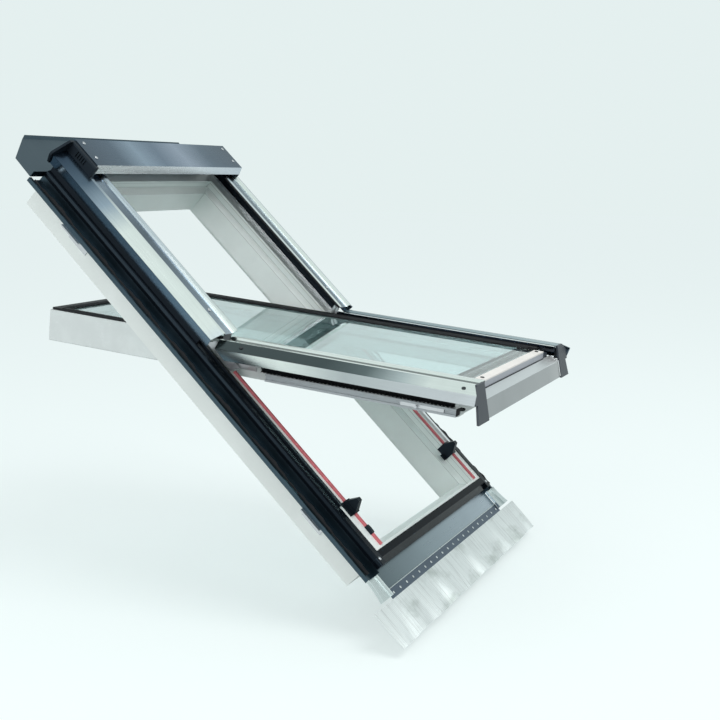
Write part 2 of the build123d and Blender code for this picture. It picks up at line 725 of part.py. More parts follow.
def arc_hinges():
    """Frame plates with an arc groove and sash plates whose tongue runs in it."""
    plate_inner = SASH_HALF_WIDTH + HINGE_GAP
    plate_outer = plate_inner + HINGE_PLATE
    bottom = plate_outer - GROOVE_FLOOR
    plate = arc_plate(ARC_INNER, ARC_OUTER, TONGUE_START, PLATE_SPAN, plate_inner, plate_outer)
    web = block((plate_inner, plate_outer), (-HINGE_WEB, HINGE_WEB), (JAMB_TOP, -GROOVE_OUTER))
    groove = arc_plate(GROOVE_INNER, GROOVE_OUTER, GROOVE_START, GROOVE_SPAN, SASH_HALF_WIDTH, bottom)
    foot = block((bottom, FOOT_OUTER), (-HINGE_FOOT, HINGE_FOOT), (JAMB_TOP, JAMB_TOP + FOOT_SHEET))
    both_sides("frame_hinge", plate + web + foot - groove)
    leaf_outer = plate_inner - HINGE_CLEARANCE
    leaf_low = SASH_BACK + RAIL_STRIP_HEIGHT
    leaf = block((SASH_HALF_WIDTH, leaf_outer), (-LEAF_HALF, LEAF_HALF), (leaf_low, LEAF_TOP))
    tongue = arc_plate(
        GROOVE_INNER + HINGE_CLEARANCE,
        GROOVE_OUTER - HINGE_CLEARANCE,
        TONGUE_START - TONGUE_INSET,
        TONGUE_SPAN,
        SASH_HALF_WIDTH,
        bottom - HINGE_CLEARANCE,
    )
    both_sides("sash_hinge", leaf + tongue)


def locks():
    """Grooved rail strips, sliding bolts with their cams, and keeps with a fin on the jambs."""
    outer = SASH_HALF_WIDTH + RAIL_STRIP
    top = SASH_BACK + RAIL_STRIP_HEIGHT
    low = RAIL_STRIP_INSET - SASH_HALF_LENGTH
    strip = block((SASH_HALF_WIDTH, outer), (low, -RAIL_STRIP_END), (SASH_BACK, top))
    middle = (SASH_BACK + top) / 2
    half = GROOVE_HEIGHT / 2
    floor = outer - GROOVE_DEPTH
    strip -= block((floor, 2 * outer), (-SASH_HALF_LENGTH, 0), (middle - half, middle + half))
    both_sides("rail_strip", strip)
    bolt = block(
        (floor + PLAY, outer - BOLT_INSET),
        (-BOLT_START - BOLT_LENGTH, -BOLT_START),
        (middle - half + PLAY, middle + half - PLAY),
    )
    cam = Pos(outer - BOLT_INSET, BOLT_THROW - CAM_PLACE, middle) * Rot(0, 90, 0) * Cylinder(
        CAM_RADIUS, CAM_LENGTH, align=(Align.CENTER, Align.CENTER, Align.MIN)
    )
    both_sides("lock_bolt", bolt + cam)
    low_lip = middle + CAM_RADIUS + KEEP_CAM_GAP + KEEP_SHEET
    leg = LINING_HALF + MOUTH_STEP - KEEP_SHEET
    bend = RED_SEAL_INNER + RED_SEAL_WIDTH + KEEP_SHEET + KEEP_PLAY
    arch = JAMB_TOP + RED_SEAL_HEIGHT + KEEP_SHEET + KEEP_PLAY
    path = [
        (outer + KEEP_TIP_GAP, low_lip),
        (leg, low_lip),
        (leg, arch),
        (bend, arch),
        (bend, JAMB_TOP + KEEP_SHEET),
        (bend + KEEP_FLANGE, JAMB_TOP + KEEP_SHEET),
    ]
    keep = along_slope(folded(path, KEEP_SHEET), -KEEP_LOW, KEEP_LENGTH - KEEP_LOW)
    keep -= block((0, leg), (BOLT_THROW - KEEP_LOW, 0), (SASH_BACK, arch - KEEP_SHEET))
    tip = KEEP_LENGTH / 2 - KEEP_LOW
    fin = [
        (FIN_INSET - KEEP_LOW, arch),
        (KEEP_LENGTH - FIN_INSET - KEEP_LOW, arch),
        (tip + FIN_TIP, arch + KEEP_FIN),
        (tip - FIN_TIP, arch + KEEP_FIN),
    ]
    both_sides("lock_keep", keep + along_eave(outline(fin), leg, bend - KEEP_SHEET))


def handle():
    """Handle on the room side of the bottom rail, on its plate."""
    place = Pos(0, -HANDLE_PLACE, SASH_BACK)
    plate = block(
        (-PLATE_HALF_WIDTH, PLATE_HALF_WIDTH), (-PLATE_HALF_LENGTH, PLATE_HALF_LENGTH), (-PLATE_DEPTH, 0)
    )
    nodes["handle_plate"] = place * fillet(plate.edges().filter_by(Axis.Z), PLATE_ROUND)
    neck = Cylinder(HANDLE_NECK, NECK_LENGTH, align=(Align.CENTER, Align.CENTER, Align.MAX))
    neck = Pos(0, 0, -PLATE_DEPTH - PLAY) * neck
    far = HANDLE_LENGTH - HANDLE_HALF
    grip = block((-HANDLE_HALF, far), (-HANDLE_HALF, HANDLE_HALF), (-GRIP_FAR, -GRIP_NEAR))
    nodes["handle"] = place * (neck + fillet(grip.edges().filter_by(Axis.X), HANDLE_ROUND))


def frame_trim():
    """Red seals and guide rails on the jambs."""
    seal_section = [
        (RED_SEAL_INNER, JAMB_TOP),
        (RED_SEAL_INNER + RED_SEAL_WIDTH, JAMB_TOP),
        (RED_SEAL_INNER + RED_SEAL_WIDTH, JAMB_TOP + RED_SEAL_HEIGHT),
        (RED_SEAL_INNER, JAMB_TOP + RED_SEAL_HEIGHT),
    ]
    crown = [0, 0, RED_SEAL_ROUND, RED_SEAL_ROUND]
    seal = along_slope(outline(seal_section, crown), -LINING_END - MOUTH_STEP, -HINGE_FOOT - SEAL_GAP)
    both_sides("frame_seal", seal)
    along = (-GUIDE_END, RAIL_OUTER - GUIDE_BACK)
    rail = block((GUIDE_INNER, GUIDE_INNER + GUIDE_WIDTH), along, (JAMB_TOP, JAMB_TOP + GUIDE_HEIGHT))
    both_sides("guide_rail", rail)


def flashing():
    """Sheets around the frame: gutters, head sheet, sill sheet, perforated strip and pleated apron."""
    level = ROOF_LEVEL
    sheet = FLASHING_SHEET
    upstand = CLAD_HALF
    gutter = [
        (upstand + GUTTER_WIDTH - GUTTER_HEM, level + GUTTER_RISE),
        (upstand + GUTTER_WIDTH, level + GUTTER_RISE),
        (upstand + GUTTER_WIDTH, level),
        (upstand, level),
        (upstand, CLAD_TOP - CLAD_SKIRT + FLASHING_UPSTAND),
    ]
    both_sides("side_flashing", along_slope(folded(gutter, sheet), -FRAME_HALF - GUTTER_HEM, RAIL_OUTER))
    sill_path = [(-FOLD_LINE - STRIP_BAND, level + sheet), (-SILL_OUTER, level + sheet)]
    nodes["sill_flashing"] = along_eave(folded(sill_path, sheet), -upstand, upstand)
    strip = block(
        (-upstand, upstand), (-FOLD_LINE - STRIP_BAND, -FOLD_LINE), (level + sheet, level + 2 * sheet)
    )
    pitch = 2 * upstand / STRIP_DOTS
    for number in range(STRIP_DOTS):
        strip -= Pos((number + 0.5) * pitch - upstand, -FOLD_LINE - STRIP_BAND / 2, level) * Cylinder(
            STRIP_DOT_RADIUS, STRIP_BAND / 2
        )
    nodes["flashing_strip"] = strip
    pleat = APRON_HALF / APRON_PLEATS
    ridge = [
        (-APRON_HALF + number * pleat, level + (APRON_WAVE if number % 2 else 0))
        for number in range(2 * APRON_PLEATS + 1)
    ]
    apron = along_slope(
        folded(ridge, sheet), -FOLD_LINE - STRIP_BAND - APRON_LENGTH, -FOLD_LINE - STRIP_BAND
    )
    nodes["flashing_apron"] = apron
    head_path = [
        (HEAD_FLASHING, level + HEAD_EDGE),
        (HEAD_FLASHING - HEAD_HEM, level + HEAD_CREASE),
        (RAIL_OUTER, level + HEAD_RISE),
        (RAIL_OUTER, CLAD_TOP - HEAD_OVERLAP),
    ]
    head = along_eave(folded(head_path, sheet), -HEAD_HALF, HEAD_HALF)
    corner = upright(
        [
            (HEAD_HALF, HEAD_FLASHING - HEAD_CORNER_RUN),
            (HEAD_HALF, 2 * HEAD_FLASHING),
            (HEAD_HALF - HEAD_CORNER, 2 * HEAD_FLASHING),
            (HEAD_HALF - HEAD_CORNER, HEAD_FLASHING),
        ],
        level,
        JAMB_TOP,
    )
    nodes["head_flashing"] = head - corner - across(corner)


def fixing_brackets():
    """Steel angles that hold the jambs on the roof battens, two a side."""
    angle = [
        (JAMB_OUTER, ROOF_LEVEL - BRACKET_LEG),
        (JAMB_OUTER, ROOF_LEVEL),
        (JAMB_OUTER + BRACKET_REACH, ROOF_LEVEL),
    ]
    low = along_slope(
        folded(angle, BRACKET_SHEET), -BRACKET_PLACE - BRACKET_WIDTH / 2, -BRACKET_PLACE + BRACKET_WIDTH / 2
    )
    bore = Cylinder(BRACKET_HOLE, BRACKET_LEG)
    low -= Pos(JAMB_OUTER + BRACKET_HOLE_PLACE, -BRACKET_PLACE, ROOF_LEVEL) * bore
    both_sides("fixing_bracket", low + mirror(low, about=Plane.XZ))


MOVING = {
    "sash_stile_left", "sash_stile_right", "sash_top_rail", "sash_bottom_rail", "outer_pane", "inner_pane",
    "pane_spacer", "inner_gasket", "glazing_gasket", "sash_cover_left", "sash_cover_right",
    "sash_cover_rail_left", "sash_cover_rail_right", "end_cap_left", "end_cap_right", "glazing_strip",
    "front_cover", "front_rail", "drip_gasket", "sash_hinge_left", "sash_hinge_right", "rail_strip_left",
    "rail_strip_right", "lock_bolt_left", "lock_bolt_right", "handle_plate", "handle", "sash_screws",
}


def build():
    """Make every piece, set the sash open, tilt the window to the roof and write one file a piece."""
    for make in (
        frame_rails, side_claddings, sill_cladding, cladding_corners, upper_covers, top_cover, corner_cap,
        sash_members, glazing, sash_covers, end_caps, front_covers, cover_screws, arc_hinges, locks, handle,
        frame_trim, flashing, fixing_brackets,
    ):
        make()
    os.makedirs("parts", exist_ok=True)
    for name, part in nodes.items():
        swing = -SASH_OPENING if name in MOVING else 0.0
        export_step(Rot(ROOF_PITCH + swing, 0, 0) * part, f"parts/{name}.step")


build()
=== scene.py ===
"""Looks of a centre-pivot roof window: its finishes, its small fittings and the studio around it."""

import logging
import math
from abc import ABC, abstractmethod
from dataclasses import dataclass, field
from enum import Enum
from functools import cache
from typing import Any

import bpy
import numpy as np
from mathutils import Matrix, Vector


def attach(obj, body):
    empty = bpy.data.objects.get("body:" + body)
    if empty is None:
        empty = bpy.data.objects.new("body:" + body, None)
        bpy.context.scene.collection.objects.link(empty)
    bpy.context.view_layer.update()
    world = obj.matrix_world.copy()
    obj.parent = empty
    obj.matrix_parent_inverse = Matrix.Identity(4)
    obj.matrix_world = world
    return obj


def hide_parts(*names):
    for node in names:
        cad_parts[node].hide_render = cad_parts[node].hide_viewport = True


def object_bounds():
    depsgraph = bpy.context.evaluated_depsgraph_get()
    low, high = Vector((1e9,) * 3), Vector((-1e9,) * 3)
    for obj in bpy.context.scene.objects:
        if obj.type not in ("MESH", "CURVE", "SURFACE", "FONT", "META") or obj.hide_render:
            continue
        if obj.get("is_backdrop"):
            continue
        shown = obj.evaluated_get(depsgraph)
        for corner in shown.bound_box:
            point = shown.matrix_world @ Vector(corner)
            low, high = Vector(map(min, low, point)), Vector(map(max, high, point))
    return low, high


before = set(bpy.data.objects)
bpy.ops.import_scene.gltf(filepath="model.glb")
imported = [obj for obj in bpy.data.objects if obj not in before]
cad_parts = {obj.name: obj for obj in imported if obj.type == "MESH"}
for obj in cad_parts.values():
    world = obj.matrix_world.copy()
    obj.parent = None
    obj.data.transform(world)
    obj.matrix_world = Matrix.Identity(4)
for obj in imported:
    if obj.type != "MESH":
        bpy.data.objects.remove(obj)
log = logging.getLogger("roof_window")

MM = 0.001
NOISE_MEAN = 0.5
Pair = tuple[float, float]
Triple = tuple[float, float, float]
Row = tuple[float, ...]
Colour = Triple
Stops = tuple[tuple[float, Colour], ...]
Inputs = dict[str | int, Any]


# Places, sides and bodies


class Lie(Enum):
    """How far a piece's own up-slope direction is tilted from level, in degrees."""

    ROOF = 45.0
    SASH = 6.0

    def world(self, points: np.ndarray) -> np.ndarray:
        """Tilt points about the pivot axis.

        Args:
            points: rows of (along the eave, up the slope, out of the roof) in millimetres.

        Returns:
            The same rows in the scene's metres: y = v cos t - w sin t, z = v sin t + w cos t.
        """
        t = math.radians(self.value)
        turn = np.array([[1, 0, 0], [0, math.cos(t), -math.sin(t)], [0, math.sin(t), math.cos(t)]])
        return points @ turn.T * MM


class Side(Enum):
    """Left and right side of the window."""

    LEFT = -1
    RIGHT = 1

    @property
    def label(self) -> str:
        """Ending of the names of this side's pieces."""
        return self.name.lower()


class Body(Enum):
    """The moving bodies that a piece can ride on."""

    FRAME = "frame"
    SASH = "sash"


# Shader maths


class Value:
    """A shader socket used in Python arithmetic; every operation adds one Math node."""

    def __init__(self, graph: "Graph", socket: bpy.types.NodeSocket) -> None:
        """Wrap a socket of a graph."""
        self.graph = graph
        self.socket = socket

    def _math(self, operation: str, first: Any, second: Any = 0.0) -> "Value":
        """Add a Math node that works on two values or numbers."""
        return self.graph.value("ShaderNodeMath", {0: first, 1: second}, operation=operation)

    def __add__(self, other: Any) -> "Value":
        """Sum."""
        return self._math("ADD", self, other)

    def __sub__(self, other: Any) -> "Value":
        """Difference."""
        return self._math("SUBTRACT", self, other)

    def __rsub__(self, other: Any) -> "Value":
        """Difference with the value on the right."""
        return self._math("SUBTRACT", other, self)

    def __mul__(self, other: Any) -> "Value":
        """Product."""
        return self._math("MULTIPLY", self, other)

    def __abs__(self) -> "Value":
        """Distance from nought."""
        return self._math("ABSOLUTE", self)

    __radd__ = __add__

    def above(self, low: float, high: float) -> "Value":
        """Rise smoothly from 0 at low to 1 at high."""
        inputs = {"Value": self, "From Min": low, "From Max": high}
        return self.graph.value("ShaderNodeMapRange", inputs, interpolation_type="SMOOTHSTEP")

    def below(self, place: float) -> "Value":
        """Mask that falls from 1 to 0 over the last millimetre below a place in millimetres."""
        return 1.0 - self.above((place - 1.0) * MM, place * MM)

    def near(self, place: float, reach: float) -> "Value":
        """Mask that is 1 at a place and fades to 0 between half its reach and its reach, in millimetres."""
        return 1.0 - abs(self - place * MM).above(reach / 2 * MM, reach * MM)

    def largest(self, other: Any) -> "Value":
        """The larger of two values."""
        return self._math("MAXIMUM", self, other)


class Graph:
    """The nodes of one material, with the few ways that the finishes add to them."""

    edge_reach: float = 0.0012
    edge_samples: int = 4
    edge_turn: Pair = (0.02, 0.25)

    def __init__(self, owner: bpy.types.Material | bpy.types.World) -> None:
        """Empty the nodes of a new material or world.

        Args:
            owner: what the nodes belong to.
        """
        owner.use_nodes = True
        self.owner = owner
        self.tree = owner.node_tree
        self.tree.nodes.clear()
        self.at: Value | None = None
        self.cloud: Value | None = None

    def node(self, kind: str, inputs: Inputs | None = None, **settings: Any) -> bpy.types.Node:
        """Add a node.

        Args:
            kind: Blender's name of the node type.
            inputs: values, colours or links by socket name or number.
            settings: attributes that are set before the sockets.

        Returns:
            The new node.
        """
        made = self.tree.nodes.new(kind)
        for key, setting in settings.items():
            setattr(made, key, setting)
        for key, entry in (inputs or {}).items():
            socket = made.inputs[key]
            if isinstance(entry, Value):
                self.tree.links.new(entry.socket, socket)
            elif socket.type == "RGBA" and len(entry) == 3:
                socket.default_value = (*entry, 1.0)
            else:
                socket.default_value = entry
        return made

    def value(self, kind: str, inputs: Inputs | None = None, out: Any = 0, **settings: Any) -> Value:
        """Add a node and wrap its first output, or the one that out names."""
        return Value(self, self.node(kind, inputs, **settings).outputs[out])

    def lay(self, lie: Lie) -> None:
        """Work in object coordinates that are turned back to the window's own directions.

        Args:
            lie: tilt of the pieces.
        """
        inputs = {"Vector": self.value("ShaderNodeTexCoord", out="Object")}
        inputs["Rotation"] = (math.radians(-lie.value), 0.0, 0.0)
        self.at = self.value("ShaderNodeMapping", inputs, vector_type="POINT")

    def split(self) -> list[Value]:
        """The place along the eave, up the slope and out of the roof, in metres."""
        return [Value(self, part) for part in self.node("ShaderNodeSeparateXYZ", {0: self.at}).outputs]

    def noise(self, scale: float, detail: float, rough: float, at: Value | None = None) -> Value:
        """Soft noise between 0 and 1."""
        inputs = {"Vector": at or self.at, "Scale": scale, "Detail": detail, "Roughness": rough}
        return self.value("ShaderNodeTexNoise", inputs)

    def streaks(self, factors: Triple, detail: float, rough: float) -> Value:
        """Soft noise whose grain is drawn out by one factor a direction."""
        drawn = self.value("ShaderNodeVectorMath", {0: self.at, 1: factors}, operation="MULTIPLY")
        return self.noise(1.0, detail, rough, drawn)

    def mix(self, factor: Any, first: Any, second: Any, blend: str = "MIX") -> Value:
        """Colour that goes from the first to the second."""
        inputs = {0: factor, 6: first, 7: second}
        return self.value("ShaderNodeMix", inputs, out=2, data_type="RGBA", blend_type=blend)

    def tones(self, value: Value, stops: Stops) -> Value:
        """Colour that runs through stops as a value grows.

        Args:
            value: a length in metres.
            stops: places in millimetres with the screen levels of their colours.

        Returns:
            The colour, which stays the same beyond the first and the last stop.
        """
        low, high = stops[0][0], stops[-1][0]
        reach = {"Value": value, "From Min": low * MM, "From Max": high * MM}
        ramp = self.node("ShaderNodeValToRGB", {0: self.value("ShaderNodeMapRange", reach)})
        elements = ramp.color_ramp.elements
        while len(elements) < len(stops):
            elements.new(1.0)
        for element, (place, levels) in zip(elements, stops):
            element.position = (place - low) / (high - low)
            element.color = (*seen(*levels), 1.0)
        return Value(self, ramp.outputs[0])

    def edges(self) -> Value:
        """Mask that is 1 along sharp outer edges.

        Returns:
            1 less the dot product of the flat normal and the rounded one, smoothly stretched.
        """
        rounded = self.value("ShaderNodeBevel", {"Radius": self.edge_reach}, samples=self.edge_samples)
        normals = {0: rounded, 1: self.value("ShaderNodeNewGeometry", out="Normal")}
        same = self.value("ShaderNodeVectorMath", normals, out="Value", operation="DOT_PRODUCT")
        return (1.0 - same).above(*self.edge_turn)

    def bump(self, height: Value, depth: float) -> Value:
        """Normal of a surface raised by height times depth, in metres."""
        return self.value("ShaderNodeBump", {"Height": height, "Distance": depth})

    def end(self, shader: Value, kind: str = "ShaderNodeOutputMaterial") -> bpy.types.ID:
        """Join a shader to a new output node, and return the material or world."""
        self.node(kind, {"Surface": shader})
        return self.owner

    def surface(self, finish: "Finish", inputs: Inputs) -> bpy.types.Material:
        """End the graph in a Principled shader with these sockets and a finish's shine."""
        shine = {"Specular IOR Level": finish.gloss, "Specular Tint": finish.shine}
        return self.end(self.value("ShaderNodeBsdfPrincipled", inputs | shine))

    def backed(self, light: Value, back: Value) -> Value:
        """Shader that lights the window one way and is seen behind it another way.

        Args:
            light: what diffuse and shadow rays meet.
            back: what camera, glossy and transmission rays meet.

        Returns:
            The mixed shader.
        """
        rays = self.node("ShaderNodeLightPath").outputs
        mask = Value(self, rays["Is Camera Ray"])
        for kind in ("Is Glossy Ray", "Is Transmission Ray"):
            mask = mask.largest(Value(self, rays[kind]))
        return self.value("ShaderNodeMixShader", {0: mask, 1: light, 2: back})


def seen(*levels: float) -> Colour:
    """Linear colour of three screen levels from 0 to 255: c = ((s + 0.055) / 1.055) ** 2.4."""
    return tuple(((level / 255 + 0.055) / 1.055) ** 2.4 for level in levels)


def ends(reach: Pair, first: Colour, last: Colour) -> Stops:
    """Stops of a tone that changes evenly over a reach."""
    return ((reach[0], first), (reach[1], last))


# Finishes


@dataclass(frozen=True)
class Finish(ABC):
    """A finish of the window: its name, its slot in the record, its colour, its lie and its shine."""

    name: str = field(init=False)
    slot: str
    colour: Colour
    lie: Lie = Lie.ROOF
    gloss: float = 0.5
    shine: Colour = (1.0, 1.0, 1.0)

    def __set_name__(self, owner: type, name: str) -> None:
        """Take the name that the palette gives."""
        object.__setattr__(self, "name", name)

    @abstractmethod
    def paint(self, graph: Graph) -> bpy.types.Material:
        """Fill the graph of this finish."""

    @cache
    def material(self) -> bpy.types.Material:
        """The finish's material, made once."""
        graph = Graph(bpy.data.materials.new(self.name))
        graph.lay(self.lie)
        return self.paint(graph)

    def shade(self, factor: float) -> Colour:
        """The finish's colour, lighter or darker."""
        return tuple(min(1.0, c * factor) for c in self.colour)


@dataclass(frozen=True)
class MouldedPlastic(Finish):
    """Extruded or moulded plastic with a fine skin, faint clouds, dust, and paler edges for wear and, on the
    black rail, a painted highlight.
    """

    roughness: float = 0.35
    grain: float = 900.0
    relief: float = 0.00006
    edge_light: float = 1.18
    wear: float = 0.5
    clouds: float = 0.9
    dust: float = 0.25

    def paint(self, graph: Graph) -> bpy.types.Material:
        """Cloudy colour, paler edges for wear and painted highlights, and a leathery skin.

        Args:
            graph: the graph to fill.

        Returns:
            The material.
        """
        cloud = graph.noise(scale=9.0, detail=4.0, rough=0.6)
        skin = graph.noise(scale=self.grain, detail=3.0, rough=0.6)
        base = graph.mix(cloud.above(low=0.35, high=0.7), self.shade(self.clouds), self.colour)
        dust = graph.noise(scale=60.0, detail=5.0, rough=0.7).above(low=0.55, high=0.75)
        base = graph.mix(dust * self.dust, base, self.shade(self.edge_light))
        # Paler edges: wear, and on the black rail a painted highlight.
        base = graph.mix(graph.edges() * self.wear, base, self.shade(self.edge_light))
        rough = self.roughness + (cloud - NOISE_MEAN) * 0.12 + skin * 0.06
        return graph.surface(self, {
            "Base Color": self.marked(graph, base), "Roughness": rough,
            "Normal": graph.bump(skin, self.relief),
        })

    def marked(self, graph: Graph, base: Value) -> Value:
        """The colour with any lines that the moulding has; plain plastic has none."""
        return base


@dataclass(frozen=True)
class FrameProfile(MouldedPlastic):
    """White window profile with sealed steps and mitred corners; its sizes are in millimetres."""

    opening_half: float = 298.0
    opening_end: float = 536.0
    seal_levels: Triple = (-52.0, -66.0, -78.0)
    seal_line: float = 1.0
    seal_tone: float = 0.62
    mitre_line: float = 0.9

    def marked(self, graph: Graph, base: Value) -> Value:
        """Draw a fine shadow line at each sealed step and along the four mitres.

        Args:
            graph: the material's graph.
            base: the colour so far.

        Returns:
            The colour with its lines.
        """
        across, along, level = graph.split()
        end = self.opening_end * MM
        mitre = (abs(along) - end) - (abs(across) - self.opening_half * MM)
        mask = mitre.near(0.0, self.mitre_line) * abs(along).above(end, end + MM)
        for seal in self.seal_levels:
            mask = mask.largest(level.near(seal, self.seal_line))
        return graph.mix(mask, base, self.shade(self.seal_tone))


@dataclass(frozen=True)
class StripPlastic(MouldedPlastic):
    """Cream strip whose front face below the bend is coloured grey."""

    bend_level: float = -2.5
    face_tone: Colour = (0.3, 0.32, 0.36)

    def marked(self, graph: Graph, base: Value) -> Value:
        """Grey the face under the bend."""
        return graph.mix(graph.split()[2].below(self.bend_level), base, self.face_tone)


@dataclass(frozen=True)
class Sheet(Finish):
    """Rolled or drawn metal sheet with lines along one direction and duller patches."""

    roughness: float = 0.3
    metallic: float = 1.0
    lines: Triple = (260.0, 6.0, 260.0)
    contrast: float = 0.16
    relief: float = 0.00002
    edge_light: float = 1.25
    wear: float = 0.6
    oxide: float = 0.3
    oxide_tone: float = 0.8

    def paint(self, graph: Graph) -> bpy.types.Material:
        """Drawn lines, oxide clouds and paler edges (wear, and on the black claddings a painted highlight)
        over the sheet's own tones.

        Args:
            graph: the graph to fill.

        Returns:
            The material.
        """
        drawn = graph.streaks(self.lines, detail=3.0, rough=0.65)
        cloud = graph.cloud = graph.noise(scale=6.0, detail=5.0, rough=0.62)
        grey = graph.mix(drawn, (1.0 - self.contrast,) * 3, (1.0,) * 3)
        base = graph.mix(1.0, self.tone(graph), grey, "MULTIPLY")
        patch = cloud.above(low=0.5, high=0.75) * self.oxide
        base = graph.mix(patch, base, (self.oxide_tone,) * 3, "MULTIPLY")
        # Paler edges: wear, and on the black claddings a painted highlight along the rounding.
        base = graph.mix(graph.edges() * self.wear, base, self.shade(self.edge_light))
        rough = self.roughness + (drawn - NOISE_MEAN) * 0.15 + (cloud - NOISE_MEAN) * 0.2
        return graph.surface(self, {
            "Base Color": base, "Metallic": self.metallic, "Roughness": rough,
            "Normal": graph.bump(drawn, self.relief),
        })

    def tone(self, graph: Graph) -> Any:
        """The sheet's tone before lines and clouds; an even sheet has its own colour."""
        return self.colour


@dataclass(frozen=True)
class CoverSheet(Sheet):
    """Cover sheet in lengthwise zones, each with its inner edge and its own tones up the slope; the tones
    are painted reflections and painted shade.
    """

    roughness: float = 0.2
    zones: tuple[tuple[float, Stops], ...] = ()
    side: Stops = ()
    side_edge: float = 374.0
    fold_level: float = -5.5
    wander: float = 0.05
    blur: float = 0.0006

    def tone(self, graph: Graph) -> Any:
        """Lay the zones of painted reflection and shade over each other from the lip outwards, and the
        side's painted reflection below the fold last.

        Args:
            graph: the material's graph.

        Returns:
            The tone.
        """
        across, along, level = graph.split()
        along = along + (graph.cloud - NOISE_MEAN) * self.wander
        tone = self.colour
        # Each zone paints reflections and shade up the slope into the colour.
        for inner, stops in self.zones:
            mask = abs(across).above(inner * MM - self.blur, inner * MM + self.blur)
            tone = graph.mix(mask, tone, graph.tones(along, stops))
        # The side face below the fold gets its own painted reflection.
        mask = level.below(self.fold_level) * (1.0 - abs(across).below(self.side_edge))
        return graph.mix(mask, tone, graph.tones(along, self.side))


@dataclass(frozen=True)
class EaveSheet(Sheet):
    """Sheet along the eave whose painted reflection changes from left to right, with a painted highlight on
    the lip and, where set, painted shade on the underside.
    """

    stops: Stops = ()
    lip_stops: Stops = ()
    lip_end: float = 0.0
    under_level: float | None = None
    under_shade: float = 0.58
    wander: float = 0.06

    def tone(self, graph: Graph) -> Any:
        """Run through the stops of painted reflection along the eave, through the lip's painted highlight on
        the lip, and paint shade on the underside.

        Args:
            graph: the material's graph.

        Returns:
            The tone.
        """
        across, along, level = graph.split()
        across = across + (graph.cloud - NOISE_MEAN) * self.wander
        tone = graph.tones(across, self.stops)
        # Painted highlight on the lip.
        if self.lip_stops:
            tone = graph.mix(along.below(self.lip_end), tone, graph.tones(across, self.lip_stops))
        # Painted shade on the underside.
        if self.under_level is not None:
            tone = graph.mix(level.below(self.under_level), tone, (self.under_shade,) * 3, "MULTIPLY")
        return tone


@dataclass(frozen=True)
class CreasedLead(Sheet):
    """Soft pleated apron, bright with grey-green stains and painted shade in fine creases down the slope."""

    stain: Colour = (0.36, 0.42, 0.39)
    stain_share: float = 0.75
    stain_size: Triple = (9.0, 14.0, 9.0)
    crease_shade: float = 0.45
    crease_share: float = 0.4
    crease_size: Triple = (420.0, 5.0, 420.0)

    def tone(self, graph: Graph) -> Any:
        """Stains in soft blots, painted shade in the creases between the pleats.

        Args:
            graph: the material's graph.

        Returns:
            The tone.
        """
        blot = graph.streaks(self.stain_size, detail=4.0, rough=0.55).above(low=0.48, high=0.72)
        # Painted shade darkens the creases.
        crease = graph.streaks(self.crease_size, detail=2.0, rough=0.5).above(low=0.5, high=0.7)
        tone = graph.mix(blot * self.stain_share, self.colour, self.stain)
        return graph.mix(crease * self.crease_share, tone, self.shade(self.crease_shade))


@dataclass(frozen=True)
class Glazing(Finish):
    """Float glass with a faint tint, partly its own and partly a painted reflection of the sky, and the film
    that rain leaves.
    """

    film_size: Triple = (7.0, 2.5, 7.0)
    film_shade: float = 1.04
    film_roughness: float = 0.05
    shine: Colour = (0.86, 0.97, 1.0)

    def paint(self, graph: Graph) -> bpy.types.Material:
        """Tinted clear body whose roughness follows a thin film of dust.

        Args:
            graph: the graph to fill.

        Returns:
            The material.
        """
        film = graph.streaks(self.film_size, detail=5.0, rough=0.6)
        tint = graph.mix(film.above(low=0.3, high=0.8), self.colour, self.shade(self.film_shade))
        return graph.surface(self, {
            "Base Color": tint, "Roughness": film.above(low=0.45, high=0.9) * self.film_roughness,
            "Transmission Weight": 1.0, "IOR": 1.5,
        })


@dataclass(frozen=True)
class Rubber(Finish):
    """Soft seal or foam with a chalky bloom."""

    roughness: float = 0.6
    pore: float = 700.0
    pore_length: float = 12.0
    relief: float = 0.00008
    bloom: float = 0.5
    bloom_light: float = 1.7
    gloss: float = 0.3

    def paint(self, graph: Graph) -> bpy.types.Material:
        """Matt body, bloom in patches and fine lines or pores.

        Args:
            graph: the graph to fill.

        Returns:
            The material.
        """
        bloom = graph.noise(scale=40.0, detail=5.0, rough=0.65)
        drawn = graph.streaks((self.pore, self.pore_length, self.pore), detail=2.0, rough=0.5)
        patch = bloom.above(low=0.45, high=0.8) * self.bloom
        return graph.surface(self, {
            "Base Color": graph.mix(patch, self.colour, self.shade(self.bloom_light)),
            "Roughness": self.roughness + (bloom - NOISE_MEAN) * 0.2,
            "Normal": graph.bump(drawn, self.relief),
        })


# Screen levels, colours and factors that several finishes share

# WHITE, SILVER and SLATE are tones of painted reflections on the sheets.
WHITE = (236, 242, 238)
SILVER = (205, 214, 220)
SLATE = (84, 100, 114)
NIGHT = (22, 28, 36)
INK = (0.005, 0.007, 0.010)
SOOT = (0.007, 0.008, 0.010)
ZINC = (0.60, 0.61, 0.63)
DEEP_SKY = (0.55, 0.8, 1.0)
PALE_SKY = (0.6, 0.8, 1.0)
ALONG_EAVE = (6.0, 260.0, 260.0)
SPECKLED = (40.0, 40.0, 40.0)

# Inner edges of a cover's parts, and where its painted reflections begin and end up the slope, in
# millimetres

LIP = 281.7
CHANNEL, FAR_CHANNEL = 296.5, 294.0
RIDGE, FAR_RIDGE = 337.0, 335.0
FALL, FAR_FALL = 349.0, 343.0
FOOT, HEAD = UPPER = (25.0, 600.0)
SASH_TIP, SASH_HEAD = -596.0, 22.0
LOWER = (-580.0, SASH_HEAD)


